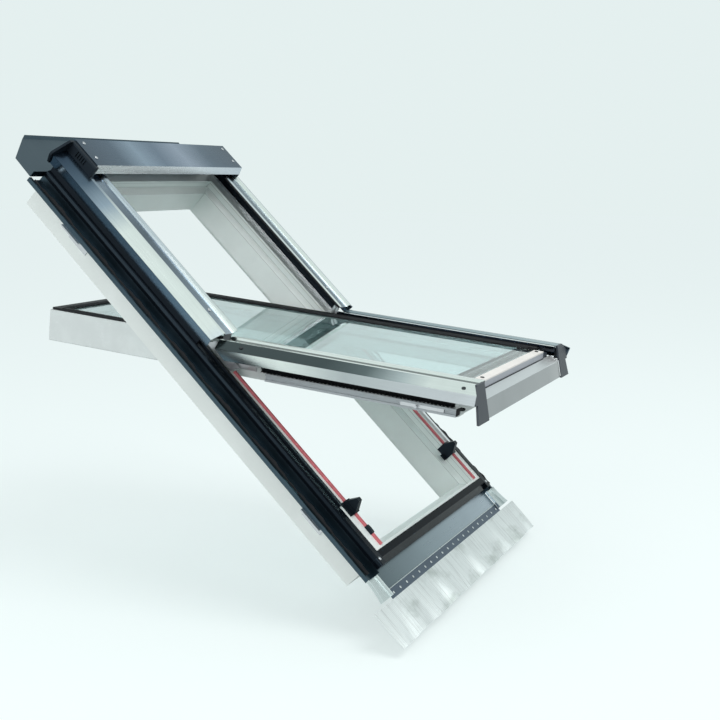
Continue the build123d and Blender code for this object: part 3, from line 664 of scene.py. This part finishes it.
class Palette:
    """Every finish of the window."""

    white = FrameProfile("pvc_white", (0.88, 0.94, 0.91), roughness=0.32, clouds=0.95)
    # The sash's white is painted darker than the frame's white: painted shade.
    white_sash = MouldedPlastic("pvc_white", (0.80, 0.86, 0.85), Lie.SASH, roughness=0.3)
    # edge_light=6.0 paints a highlight along the rounded edges of the black claddings.
    cladding = Sheet(
        "cladding_black", (0.004, 0.006, 0.009), roughness=0.26, metallic=0.0,
        edge_light=6.0, contrast=0.3, gloss=0.15, shine=DEEP_SKY,
    )
    sill_cladding = Sheet(
        "cladding_black", (0.003, 0.005, 0.008), roughness=0.2, metallic=0.0,
        edge_light=6.0, contrast=0.3, gloss=0.05, shine=DEEP_SKY, lines=ALONG_EAVE,
    )
    # Painted reflections on the near upper cover: white bands at the foot, painted shade in the channel and
    # darker slate towards the head, a lit side face.
    near_cover = CoverSheet(
        "cover_grey", seen(*NIGHT),
        zones=(
            (LIP, ((FOOT, WHITE), (300.0, SILVER), (HEAD, (176, 190, 200)))),
            (CHANNEL, (
                (FOOT, (165, 176, 186)), (130.0, (120, 134, 146)), (330.0, (84, 98, 110)),
                (470.0, (120, 134, 148)), (HEAD, (176, 188, 200)),
            )),
            (RIDGE, ((FOOT, WHITE), (380.0, WHITE), (480.0, (150, 164, 176)), (HEAD, (110, 124, 136)))),
            (FALL, (
                (FOOT, (226, 234, 238)), (60.0, WHITE), (350.0, WHITE), (430.0, (160, 176, 190)),
                (500.0, (92, 110, 126)), (HEAD, (50, 66, 84)),
            )),
        ),
        side=(
            (FOOT, (240, 243, 246)), (140.0, (206, 214, 222)), (260.0, (182, 193, 204)),
            (450.0, (158, 172, 184)), (HEAD, (124, 140, 156)),
        ),
    )
    # Painted reflections on the far upper cover: white lip and ridge, darker channel, slate fall and side.
    far_cover = CoverSheet(
        "cover_grey", seen(*NIGHT),
        zones=(
            (LIP, ends(UPPER, WHITE, SILVER)),
            (FAR_CHANNEL, ((FOOT, (120, 134, 146)), (300.0, (96, 110, 120)), (HEAD, (130, 144, 154)))),
            (FAR_RIDGE, ends(UPPER, WHITE, WHITE)),
            (FALL, ends(UPPER, (120, 138, 150), SLATE)),
        ),
        side=ends(UPPER, SLATE, SLATE),
    )
    # Painted reflections along the head cover, and a painted highlight on its lip.
    head_cover = EaveSheet(
        "cover_grey", seen(*SLATE), roughness=0.26, lines=ALONG_EAVE,
        stops=(
            (-334.0, (66, 82, 98)), (-210.0, (84, 102, 120)), (-120.0, (140, 158, 176)),
            (-30.0, (104, 122, 142)), (80.0, (150, 162, 180)), (200.0, (88, 106, 124)),
            (350.0, (62, 80, 96)),
        ),
        lip_stops=((-334.0, (246, 248, 250)), (0.0, (232, 236, 241)), (350.0, (196, 205, 214))),
        lip_end=523.7,
    )
    # Painted reflections on the near sash cover: white lip, ridge and foot, painted shade in the channel,
    # slate towards the head.
    near_sash_cover = CoverSheet(
        "cover_grey", seen(*NIGHT), Lie.SASH,
        zones=(
            (LIP, ends(LOWER, WHITE, WHITE)),
            (CHANNEL, ends(LOWER, (48, 58, 62), (26, 36, 40))),
            (RIDGE, ends(LOWER, WHITE, WHITE)),
            (FALL, (
                (SASH_TIP, WHITE), (-490.0, WHITE), (-430.0, (190, 200, 202)),
                (-350.0, (96, 110, 112)), (-250.0, (58, 72, 74)), (SASH_HEAD, (50, 64, 66)),
            )),
        ),
        side=((SASH_TIP, (214, 216, 220)), (-300.0, (186, 192, 194)), (-150.0, WHITE), (SASH_HEAD, WHITE)),
    )
    # Painted reflections on the far sash cover: bright lip and ridge, painted shade in the channel, slate
    # fall and side.
    far_sash_cover = CoverSheet(
        "cover_grey", seen(*NIGHT), Lie.SASH,
        zones=(
            (LIP, ends(LOWER, WHITE, SILVER)),
            (FAR_CHANNEL, ends(LOWER, (70, 82, 88), (44, 56, 60))),
            (FAR_RIDGE, ends(LOWER, (190, 202, 206), (150, 164, 170))),
            (FAR_FALL, ends(LOWER, (110, 122, 128), SLATE)),
        ),
        side=ends(LOWER, SLATE, SLATE),
    )
    # Painted highlight towards the right end of the front cover, and painted shade on its underside.
    front = EaveSheet(
        "cover_grey", seen(*SILVER), Lie.SASH, roughness=0.34, lines=ALONG_EAVE, metallic=0.6,
        stops=((-300.0, (196, 202, 204)), (200.0, (206, 211, 212)), (300.0, (232, 235, 235))),
        under_level=-28.5,
    )
    bright = Sheet("bright_aluminium", (0.86, 0.88, 0.90), roughness=0.18)
    sash_bright = Sheet("bright_aluminium", (0.9, 0.92, 0.93), Lie.SASH, roughness=0.25, metallic=0.7)
    flashing = Sheet("flashing_grey", seen(70, 86, 96), roughness=0.36)
    # Painted reflection on the sill sheet: darker at the left, lighter at the right.
    sill_sheet = EaveSheet(
        "flashing_grey", seen(*SLATE), lines=(6.0, 220.0, 220.0),
        stops=((-385.0, (98, 112, 118)), (-100.0, (140, 154, 162)), (385.0, (176, 188, 198))),
    )
    corner_sheet = Sheet("sheet_aluminium", seen(206, 214, 214), roughness=0.28)
    strip = Sheet("flashing_grey", seen(92, 104, 118), roughness=0.4, lines=(8.0, 200.0, 200.0))
    apron = CreasedLead("sheet_aluminium", (0.72, 0.78, 0.77), roughness=0.45, metallic=0.3)
    black = MouldedPlastic(
        "plastic_black", INK, roughness=0.45, edge_light=3.0, dust=0.1, gloss=0.25, shine=PALE_SKY
    )
    # edge_light=4.0 paints a highlight along the black rail's edges.
    black_rail = MouldedPlastic(
        "plastic_black", INK, roughness=0.3, edge_light=4.0, dust=0.1, gloss=0.3, shine=PALE_SKY
    )
    slate = MouldedPlastic(
        "plastic_black", seen(48, 54, 62), Lie.SASH, roughness=0.4, edge_light=2.0, gloss=0.3
    )
    grey = MouldedPlastic("plastic_grey", seen(196, 204, 208), Lie.SASH, roughness=0.36)
    cream = StripPlastic("plastic_cream", seen(226, 222, 216), Lie.SASH, roughness=0.3)
    # The glass's cyan tint is partly its own and partly a painted reflection of the sky.
    glass = Glazing("glass", (0.83, 0.97, 0.975), Lie.SASH)
    gasket = Rubber("rubber_black", SOOT, Lie.SASH)
    pale_seal = Rubber("rubber_grey", (0.70, 0.63, 0.60), Lie.SASH)
    frame_gasket = Rubber("rubber_black", SOOT)
    foam = Rubber("rubber_black", (0.016, 0.017, 0.019), roughness=0.9, pore=320.0, relief=0.0006)
    red = Rubber("rubber_red", seen(200, 108, 114))
    steel = Sheet("steel", ZINC, roughness=0.35, lines=SPECKLED)
    steel_sash = Sheet("steel", ZINC, Lie.SASH, roughness=0.35, lines=SPECKLED)
    dark_steel = Sheet("steel", (0.05, 0.055, 0.06), Lie.SASH, roughness=0.4, lines=SPECKLED)
    spacer = Sheet("bright_aluminium", (0.72, 0.75, 0.75), Lie.SASH, roughness=0.35)
    handle = Sheet("sheet_aluminium", (0.70, 0.72, 0.74), Lie.SASH, roughness=0.34)


# New surfaces


@dataclass(frozen=True)
class Skin:
    """A closed skin: rings of points, joined from ring to ring, with both ends closed by strips of quads."""

    name: str
    finish: Finish
    body: Body

    def make(self, rings: np.ndarray, replaces: str | None = None) -> bpy.types.Object:
        """Build the object.

        Args:
            rings: (rings, points, 3) array in the window's own millimetres; every ring holds an even
                number of points, the first half on one side and the rest back along the other.
            replaces: CAD node that this piece is drawn in place of.

        Returns:
            The new object, riding on its body.
        """
        count, around = rings.shape[:2]
        quads = self.faces(count, around)
        points = self.finish.lie.world(rings.reshape(-1, 3))
        if self.volume(points, quads) < 0:
            quads = quads[:, ::-1]
        mesh = bpy.data.meshes.new(self.name)
        mesh.from_pydata(points.tolist(), [], quads.tolist())
        mesh.materials.append(self.finish.material())
        mesh.update()
        piece = bpy.data.objects.new(self.name, mesh)
        bpy.context.collection.objects.link(piece)
        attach(piece, self.body.value)
        if replaces is not None:
            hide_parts(replaces)
        log.info("%s: %d faces", self.name, len(quads))
        return piece

    @staticmethod
    def faces(count: int, around: int) -> np.ndarray:
        """Quads between the rings, wrapped round, and strips over both ends.

        Args:
            count: number of rings.
            around: points in a ring.

        Returns:
            (n, 4) numbers of points.
        """
        ring = np.arange(around)
        low = np.arange(count - 1)[:, None] * around
        high = low + around
        following = (ring + 1) % around
        walls = np.stack([low + ring, low + following, high + following, high + ring], -1)
        half = np.arange(around // 2 - 1)
        back = around - 1 - half
        end = np.stack([half + 1, half, back, back - 1], -1)
        far = (count - 1) * around + end[:, ::-1]
        return np.concatenate([walls.reshape(-1, 4), end, far])

    @staticmethod
    def volume(points: np.ndarray, quads: np.ndarray) -> float:
        """Signed volume, six times: sum of a . (b x c) over the fans of all quads."""
        a, b, c, d = (points[quads[:, i]] for i in range(4))
        return float((a * np.cross(b, c)).sum() + (a * np.cross(c, d)).sum())


def pair(name: str, finish: Finish, body: Body, rings: np.ndarray) -> None:
    """Make a piece from its rings on the right, and its mirror image on the left."""
    for side in Side:
        Skin(f"{name}_{side.label}", finish, body).make(rings * np.array([side.value, 1, 1]))


def cut(across: list[Any], level: list[Any]) -> np.ndarray:
    """Closed sections, one a place: (across, level) of each corner in turn.

    Args:
        across: a number, or an array over the places, for every corner.
        level: the same for its height.

    Returns:
        (m, n, 2) sections.
    """
    lines = np.broadcast_arrays(*across, *level)
    count = len(across)
    return np.stack([np.stack(lines[:count], -1), np.stack(lines[count:], -1)], -1)


def ellipse(middle: Pair, radii: Pair, turn: np.ndarray) -> np.ndarray:
    """Points of an ellipse: middle + (a cos t, b sin t)."""
    return np.stack([middle[0] + radii[0] * np.cos(turn), middle[1] + radii[1] * np.sin(turn)], -1)


def based(over: np.ndarray, base: float) -> np.ndarray:
    """Section between a curve and a flat base at the given level."""
    under = np.stack([over[::-1, 0], np.full(len(over), base)], -1)
    return np.concatenate([over, under])


def ripple(place: np.ndarray, *waves: tuple[float, float, Any]) -> np.ndarray:
    """Sum of waves: height * sin(place / length + phase)."""
    return sum(height * np.sin(place / length + phase) for height, length, phase in waves)


def sweep(section: np.ndarray, places: np.ndarray, along_eave: bool = False) -> np.ndarray:
    """Rings of a section carried along the slope or along the eave.

    Args:
        section: (n, 2) closed section, or (m, n, 2) one a place, as (across, level) in millimetres.
        places: (m,) places along the way.
        along_eave: carry it along the eave, with the section's first number up the slope.

    Returns:
        (m, n, 3) points.
    """
    sections = np.broadcast_to(section, (len(places), *section.shape[-2:]))
    way = np.broadcast_to(places[:, None], sections.shape[:2])
    first, level = sections[..., 0], sections[..., 1]
    return np.stack([way, first, level] if along_eave else [first, way, level], -1)


def dome(centre: Triple, radius: float, height: float, sunk: float) -> np.ndarray:
    """Rings of a flat domed head that stands on a sheet.

    Args:
        centre: middle of its foot, in millimetres.
        radius: of the foot.
        height: of the crown, which follows height * sqrt(1 - (r / radius) ** 2).
        sunk: how far its foot reaches into the sheet.

    Returns:
        (6, 12, 3) points.
    """
    turn = np.linspace(0, 2 * np.pi, 12, endpoint=False)
    share = np.array([1.0, 0.98, 0.88, 0.7, 0.45, 0.15])[:, None]
    rise = height * np.sqrt(1 - share**2) * np.ones_like(turn)
    rise[0] = -sunk
    flat = radius * share
    return np.stack([centre[0] + flat * np.cos(turn), centre[1] + flat * np.sin(turn), centre[2] + rise], -1)


# Window; all sizes are in millimetres in the window's own directions


def sided(*names: str) -> list[str]:
    """The left and right node of every name."""
    return [f"{name}_{side.label}" for name in names for side in Side]


def dress(finish: Finish, *nodes: str) -> None:
    """Give CAD nodes a finish by filling their material slots.

    Args:
        finish: what they are made of.
        nodes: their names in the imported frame.
    """
    for node in nodes:
        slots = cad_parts[node].data.materials
        slots.clear()
        slots.append(finish.material())
    log.info("%s on %s", finish.name, ", ".join(nodes))


class Assembly(ABC):
    """A sub-assembly of the window."""

    @abstractmethod
    def build(self) -> None:
        """Dress its nodes and make its pieces."""


@dataclass
class FrameBox(Assembly):
    """White frame with its seals, rails, hinges and brackets."""

    clip_middle: float = -512.0
    clip_half: float = 11.0
    clip_across: Pair = (-330.0, -316.5)
    clip_foot: float = -46.1
    clip_shoulder: float = -41.0
    clip_slant: float = 2.0
    arch_rise: float = 2.6
    arch_half: float = 12.5

    def build(self) -> None:
        """Dress the fixed pieces inside the claddings."""
        dress(Palette.white, *sided("frame_jamb"), "frame_head", "frame_sill")
        dress(Palette.red, *sided("frame_seal"))
        dress(Palette.black_rail, "guide_rail_left")
        dress(Palette.bright, "guide_rail_right")
        dress(Palette.steel, *sided("frame_hinge", "fixing_bracket"))
        dress(Palette.black, *sided("lock_keep", "cover_rail"))
        self.seal_clip()

    def seal_clip(self) -> None:
        """Black clip on the left jamb, beside the seal.

        Its back is an arch: shoulder + rise * sqrt(1 - ((v - middle) / half) ** 2).
        """
        v = np.linspace(self.clip_middle - self.clip_half, self.clip_middle + self.clip_half, 9)
        left, right = self.clip_across
        share = (v - self.clip_middle) / self.arch_half
        crown = self.clip_shoulder + self.arch_rise * np.sqrt(1 - share**2)
        across = [left, right, right - self.clip_slant, left + self.clip_slant]
        section = cut(across, [self.clip_foot, self.clip_foot, crown, crown])
        Skin("seal_clip", Palette.black, Body.FRAME).make(sweep(section, v))


@dataclass
class Claddings(Assembly):
    """Black claddings outside the frame."""

    screw_foot: Triple = (371.0, -576.0, -44.2)
    screw_radius: float = 4.2
    screw_height: float = 1.9
    screw_sunk: float = 0.6

    def build(self) -> None:
        """Dress the claddings and screw their corners down."""
        dress(Palette.cladding, *sided("side_cladding", "cladding_corner"))
        dress(Palette.sill_cladding, "sill_cladding")
        head = dome(self.screw_foot, self.screw_radius, self.screw_height, self.screw_sunk)
        pair("corner_screw", Palette.steel, Body.FRAME, head)


@dataclass
class Covers(Assembly):
    """Aluminium covers over the upper half and the head."""

    cord_middle: Pair = (280.4, 6.0)
    cord_radii: Pair = (-1.2, 2.2)
    cord_back: float = 281.3
    cord_ends: Pair = (30.0, 512.0)

    def build(self) -> None:
        """Dress the covers and the slotted cap."""
        dress(Palette.near_cover, "upper_cover_left")
        dress(Palette.far_cover, "upper_cover_right")
        dress(Palette.head_cover, "top_cover")
        dress(Palette.black, "corner_cap_left")
        dress(Palette.steel, "cover_screws")
        self.lip_cord()

    def lip_cord(self) -> None:
        """Thin black cord along the inner edge of the cover's lip; its nose is half an ellipse."""
        nose = ellipse(self.cord_middle, self.cord_radii, np.linspace(-np.pi / 2, np.pi / 2, 6))
        back = nose[::-1].copy()
        back[:, 0] = self.cord_back
        rings = sweep(np.concatenate([nose, back]), np.linspace(*self.cord_ends, 5))
        pair("lip_cord", Palette.frame_gasket, Body.FRAME, rings)


@dataclass
class Sash(Assembly):
    """Opening sash with its covers, glass and locks."""

    stile_face: float = 287.9
    band_depth: float = 7.0
    band_rib: float = 0.45
    band_top: float = -30.0
    band_bottom: float = -61.2
    band_ends: Pair = (-522.0, -58.0)
    tooth_pitch: float = 9.0
    tooth: float = 2.4
    lip_face: float = 281.0
    comb_level: float = 3.4
    comb_depth: float = 1.6
    comb_ends: Pair = (-536.0, 500.0)
    comb_tooth: Row = (0.0, 0.6, 3.2, 3.8)
    comb_reach: Row = (1.6, 4.6, 4.6, 1.6)
    trim_path: tuple[Pair, ...] = (
        (-566.0, -17.3), (-578.5, -22.6), (-591.3, -27.9), (-596.4, -47.0), (-601.4, -65.0),
    )
    trim_across: Triple = (296.0, 298.2, 300.3)
    trim_sunk: float = 0.4
    trim_rise: float = 0.7
    cord_middle: Pair = (-566.9, -18.4)
    cord_radii: Pair = (1.3, 1.3)
    cord_half: float = 237.0
    plug_middle: Pair = (-558.0, -11.0)
    plug_radii: Pair = (-7.0, 3.5)
    plug_foot: float = -19.6
    plug_across: Row = (238.6, 240.0, 258.0, 278.6, 279.4)
    nose_places: Row = (-546.0, -542.0, -535.5, -534.5, -527.9)
    nose_low: Row = (-62.0, -64.5, -65.5, -74.0, -79.0)
    nose_high: Row = (-58.0, -57.0, -57.0, -58.0, -61.5)
    nose_outer: Row = (290.5, 293.6, 294.8, 294.8, 294.4)
    nose_slant: float = 1.0

    def build(self) -> None:
        """Dress everything that swings and add its gaskets."""
        dress(Palette.white_sash, *sided("sash_stile"), "sash_top_rail", "sash_bottom_rail")
        dress(Palette.glass, "outer_pane", "inner_pane")
        dress(Palette.spacer, "pane_spacer")
        dress(Palette.gasket, "glazing_gasket")
        dress(Palette.pale_seal, "inner_gasket", "drip_gasket")
        dress(Palette.near_sash_cover, "sash_cover_left")
        dress(Palette.far_sash_cover, "sash_cover_right")
        dress(Palette.grey, *sided("rail_strip"))
        dress(Palette.slate, *sided("end_cap", "sash_cover_rail"), "front_rail")
        dress(Palette.cream, "glazing_strip")
        dress(Palette.front, "front_cover")
        dress(Palette.steel_sash, *sided("sash_hinge", "lock_bolt"))
        dress(Palette.dark_steel, "sash_screws")
        dress(Palette.grey, "handle_plate")
        dress(Palette.handle, "handle")
        self.joint_cord()
        self.weather_gasket()
        self.lip_comb()
        self.strip_plug()
        self.rail_end()
        self.front_trim()

    def front_trim(self) -> None:
        """Bright edge rolled over the end of the front cover: a path offset along its normals."""
        path = np.array(self.trim_path)
        way = np.gradient(path, axis=0)
        out = np.stack([way[:, 1], -way[:, 0]], -1) / np.linalg.norm(way, axis=1, keepdims=True)
        foot, crown = path - self.trim_sunk * out, path + self.trim_rise * out
        inner, middle, outer = (np.full((len(path), 1), across) for across in self.trim_across)
        corners = (
            (inner, foot), (inner, path), (middle, crown), (outer, crown), (outer, path), (outer, foot),
        )
        rings = np.stack([np.hstack(corner) for corner in corners], 1)
        pair("front_trim", Palette.sash_bright, Body.SASH, rings)

    def weather_gasket(self) -> None:
        """Black gasket with three ribs on the stile's outer face, and a notched lower edge.

        The ribs follow depth * (1 - rib + rib cos 6 pi s) from top to bottom. The lower edge follows
        bottom + tooth * |2 frac(v / pitch) - 1|.
        """
        v = np.arange(*self.band_ends, self.tooth_pitch / 4)
        notch = self.tooth * np.abs(2 * ((v / self.tooth_pitch) % 1) - 1)
        rib = np.linspace(0, 1, 13)
        wave = np.cos(6 * np.pi * rib)
        out = self.stile_face + self.band_depth * (1 - self.band_rib + self.band_rib * wave)
        level = self.band_top + rib * (self.band_bottom + notch[:, None] - self.band_top)
        outer = np.stack([np.broadcast_to(out, level.shape), level], -1)
        inner = outer[:, ::-1].copy()
        inner[..., 0] = self.stile_face
        rings = sweep(np.concatenate([outer, inner], 1), v)
        pair("weather_gasket", Palette.gasket, Body.SASH, rings)

    def lip_comb(self) -> None:
        """Black gasket under the cover's inner lip, combed into short teeth: a square wave of its reach."""
        starts = np.arange(*self.comb_ends, self.tooth_pitch * 0.75)
        v = (starts[:, None] + self.comb_tooth).ravel()
        inner = self.lip_face - np.tile(self.comb_reach, len(starts))
        high = self.comb_level
        low = high - self.comb_depth
        section = cut([inner, self.lip_face, self.lip_face, inner], [low, low, high, high])
        pair("lip_comb", Palette.gasket, Body.SASH, sweep(section, v))

    def joint_cord(self) -> None:
        """Black round cord in the joint between the glazing strip and the front cover: a circle, swept."""
        section = ellipse(self.cord_middle, self.cord_radii, np.linspace(0, 2 * np.pi, 12, endpoint=False))
        places = np.linspace(-self.cord_half, self.cord_half, 3)
        Skin("joint_cord", Palette.gasket, Body.SASH).make(sweep(section, places, along_eave=True))

    def strip_plug(self) -> None:
        """Dark moulded plug that closes the gap beside the glazing strip; its crown is a flat ellipse."""
        crown = ellipse(self.plug_middle, self.plug_radii, np.linspace(0, np.pi, 9))
        rings = sweep(based(crown, self.plug_foot), np.array(self.plug_across), along_eave=True)
        pair("strip_plug", Palette.slate, Body.SASH, rings)

    def rail_end(self) -> None:
        """Black end piece of the rail strip: four-cornered sections that grow from its slanting nose."""
        low, high = np.array(self.nose_low), np.array(self.nose_high)
        across = [self.stile_face, self.stile_face, self.nose_outer, self.nose_outer]
        section = cut(across, [low, high, high - self.nose_slant, low + self.nose_slant])
        rings = sweep(section, np.array(self.nose_places))
        pair("rail_end", Palette.gasket, Body.SASH, rings)


@dataclass
class Flashing(Assembly):
    """Sheets that carry the water round the frame."""

    roof_level: float = -76.0
    clad_half: float = 385.0
    fold: float = -637.0
    strip_end: float = -661.0
    strip_thick: float = 2.0
    fold_radius: float = 1.3
    strip_radius: float = 1.0
    bead_sunk: float = 0.2
    apron_end: float = -752.0
    apron_half: float = 492.0
    apron_sheet: float = 1.0
    apron_lift: float = 3.2
    apron_start: float = 2.0
    pleat: float = 6.0
    pleat_height: float = 1.1
    dots: int = 20
    dot_radius: float = 2.9
    dot_levels: Pair = (1.1, 2.1)
    dot_rise: float = 0.5
    gutter_ends: Pair = (-652.0, -597.0)
    gutter_across: Row = (384.0, 386.0, 420.0, 431.0, 433.0, 434.0)
    gutter_rise: Row = (9.0, 3.0, 3.0, 3.0, 9.0, 12.0)
    gutter_sheet: float = 0.9
    flare: float = 12.0
    flare_from: float = 400.0
    foam_ends: Pair = (-586.0, 584.0)
    foam_across: Triple = (412.0, 416.0, 422.0)
    foam_foot: float = 0.9
    foam_height: float = 15.0
    foam_slant: float = 0.8

    def build(self) -> None:
        """Dress the sheets and make the apron, the dots, the beads, the corners and the foam."""
        dress(Palette.flashing, *sided("side_flashing"), "head_flashing")
        dress(Palette.sill_sheet, "sill_flashing")
        dress(Palette.strip, "flashing_strip")
        self.apron()
        self.strip_dots()
        self.bead("fold_bead", self.fold, self.fold_radius)
        self.bead("strip_bead", self.strip_end, self.strip_radius)
        self.gutter_end()
        self.foam()

    def apron(self) -> None:
        """Hand-dressed pleated apron.

        Level above the roof: fine pleats, height * sin(2 pi u / pleat), that fade where a slow noise of
        sines presses them flat, and long waves that deepen down the slope as s squared.
        """
        u = np.arange(-self.apron_half, self.apron_half + 0.1, self.pleat / 4)
        s = np.linspace(0, 1, 18)[:, None]
        pressed = 0.55 + ripple(u, (0.45, 61.0, 1.3)) * np.sin(u / 23.0)
        fine = self.pleat_height * pressed * np.sin(2 * np.pi * u / self.pleat) * (0.3 + 0.7 * s)
        waves = ripple(u, (2.0, 47.0, 0.0), (1.1, 19.0, 2.0), (0.6, 9.0, 2 * s)) * s**2
        level = self.roof_level + self.apron_lift + fine + waves
        end = self.apron_end + ripple(u, (0.9, 31.0, 0.0), (0.4, 7.0, 0.0))
        along = self.strip_end + self.apron_start + s * (end - self.strip_end)
        top = np.stack([np.broadcast_to(u, level.shape), along, level], -1)
        under = top[:, ::-1] - np.array([0.0, 0.0, self.apron_sheet])
        rings = np.concatenate([top, under], 1)
        Skin("pleated_apron", Palette.apron, Body.FRAME).make(rings, replaces="flashing_apron")

    def strip_dots(self) -> None:
        """Bright sealing paste that shows in the strip's holes: a thin domed disc in each."""
        centres = (np.arange(self.dots) + 0.5) * 2 * self.clad_half / self.dots - self.clad_half
        turn = np.linspace(0, np.pi, 9)[1:-1]
        half = self.dot_radius * np.sin(turn)
        v = (self.fold + self.strip_end) / 2
        low, high = (self.roof_level + level for level in self.dot_levels)
        top = high + self.dot_rise * np.sin(turn)
        section = cut([v - half, v + half, v + half, v - half], [top, top, low, low])
        for number, centre in enumerate(centres):
            rings = sweep(section, centre - self.dot_radius * np.cos(turn), along_eave=True)
            Skin(f"strip_dot_{number:02d}", Palette.apron, Body.FRAME).make(rings)

    def bead(self, name: str, place: float, radius: float) -> None:
        """Bright rolled edge along the eave: a half round on the sheet.

        Args:
            name: the piece's name.
            place: where it lies up the slope.
            radius: of its half round.
        """
        base = self.roof_level + self.strip_thick
        over = ellipse((place, base), (radius, radius), np.linspace(0, np.pi, 7))
        places = np.array([-self.clad_half, self.clad_half])
        rings = sweep(based(over, base - self.bead_sunk), places, along_eave=True)
        Skin(name, Palette.corner_sheet, Body.FRAME).make(rings)

    def gutter_end(self) -> None:
        """Folded sheet that leads a side gutter out over the apron.

        Its outer part flares by flare * s squared, where s runs from 0 to 1 down the slope.
        """
        v = np.linspace(*self.gutter_ends, 12)
        s = (v - v[-1])[:, None] / (v[0] - v[-1])
        across = np.array(self.gutter_across)
        flared = across + self.flare * s**2 * (across > self.flare_from)
        level = np.broadcast_to(self.roof_level + np.array(self.gutter_rise), flared.shape)
        top = np.stack([flared, level], -1)
        under = top[:, ::-1] - np.array([0.0, self.gutter_sheet])
        rings = sweep(np.concatenate([top, under], 1), v)
        pair("gutter_end", Palette.corner_sheet, Body.FRAME, rings)

    def foam(self) -> None:
        """Wedge of dark foam along the gutter's rim; its crest waves like the tiles that press on it."""
        v = np.arange(*self.foam_ends, 6.0)
        crest = self.foam_height + ripple(v, (2.5, 24.0, 0.0), (1.2, 5.0, 0.0))
        inner, rim, outer = self.foam_across
        foot = self.roof_level + self.foam_foot
        levels = [foot, self.roof_level + crest * self.foam_slant, self.roof_level + crest, foot]
        rings = sweep(cut([inner, rim, outer, outer], levels), v)
        pair("foam_wedge", Palette.foam, Body.FRAME, rings)


# Studio


@dataclass(frozen=True)
class Lamp:
    """Square lamp that faces the window: its place and side in metres and its power in watts."""

    name: str
    place: Triple
    side: float
    power: float

    def hang(self) -> None:
        """Put the lamp into the scene."""
        data = bpy.data.lights.new(self.name, "AREA")
        data.size = self.side
        data.energy = self.power
        lamp = bpy.data.objects.new(self.name, data)
        lamp.location = self.place
        lamp.rotation_euler = (-Vector(self.place)).to_track_quat("-Z", "Y").to_euler()
        bpy.context.collection.objects.link(lamp)


@dataclass
class Studio:
    """Camera at the photograph's viewing angle, pale floor and soft light; its sizes are in metres."""

    eye: Triple = (-2.7253, -1.3513, 0.3667)
    look: Triple = (0.9075, 0.3938, -0.1459)
    focal: float = 61.62
    sensor: float = 36.0
    sight: float = 100.0
    floor_drop: float = 0.02
    floor_half: float = 30.0
    pale: Colour = (0.78, 0.87, 0.865)
    floor_shade: Colour = (0.34, 0.365, 0.36)
    floor_glow: float = 0.67
    sky: Colour = (0.95, 0.98, 1.0)
    sky_strength: float = 0.8
    lamps: tuple[Lamp, ...] = (
        Lamp("key", (-1.0, -3.2, 4.2), 3.0, 135.0),
        Lamp("fill", (-4.2, 0.6, 1.6), 2.4, 55.0),
    )

    def build(self) -> None:
        """Set up camera, world, floor and lamps."""
        self.camera()
        self.world()
        self.floor()
        for lamp in self.lamps:
            lamp.hang()
        bpy.context.scene.view_settings.view_transform = "Standard"

    def camera(self) -> None:
        """Stand the camera where the photograph was taken."""
        data = bpy.data.cameras.new("photograph_view")
        data.lens = self.focal
        data.sensor_width = self.sensor
        data.clip_end = self.sight
        eye = bpy.data.objects.new("photograph_view", data)
        eye.location = self.eye
        eye.rotation_euler = Vector(self.look).to_track_quat("-Z", "Y").to_euler()
        bpy.context.collection.objects.link(eye)
        bpy.context.scene.camera = eye

    def world(self) -> None:
        """Pale surroundings: seen at full strength, lighting the window a little less."""
        world = bpy.data.worlds.new("surroundings")
        bpy.context.scene.world = world
        graph = Graph(world)
        light = graph.value("ShaderNodeBackground", {"Color": self.sky, "Strength": self.sky_strength})
        back = graph.value("ShaderNodeBackground", {"Color": self.pale, "Strength": 1.0})
        graph.end(graph.backed(light, back), "ShaderNodeOutputWorld")

    def floor(self) -> None:
        """Level floor just under the lowest point of the flashing, which glows where it is seen."""
        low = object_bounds()[0][2] - self.floor_drop
        half = self.floor_half
        corners = [(-half, -half, low), (half, -half, low), (half, half, low), (-half, half, low)]
        mesh = bpy.data.meshes.new("studio_floor")
        mesh.from_pydata(corners, [], [(0, 1, 2, 3)])
        graph = Graph(bpy.data.materials.new("studio_floor"))
        matt = graph.value("ShaderNodeBsdfDiffuse", {"Color": self.floor_shade})
        glow = graph.value("ShaderNodeEmission", {"Color": self.pale, "Strength": self.floor_glow})
        lit = graph.value("ShaderNodeAddShader", {0: matt, 1: glow})
        mesh.materials.append(graph.end(graph.backed(matt, lit)))
        floor = bpy.data.objects.new("studio_floor", mesh)
        bpy.context.collection.objects.link(floor)
        floor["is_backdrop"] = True


def main() -> None:
    """Build every sub-assembly and the studio."""
    logging.basicConfig(level=logging.INFO, format="%(message)s")
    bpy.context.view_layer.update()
    for assembly in (FrameBox(), Claddings(), Covers(), Sash(), Flashing()):
        assembly.build()
        log.info("%s done", type(assembly).__name__)
    Studio().build()


if __name__ == "__main__":
    main()
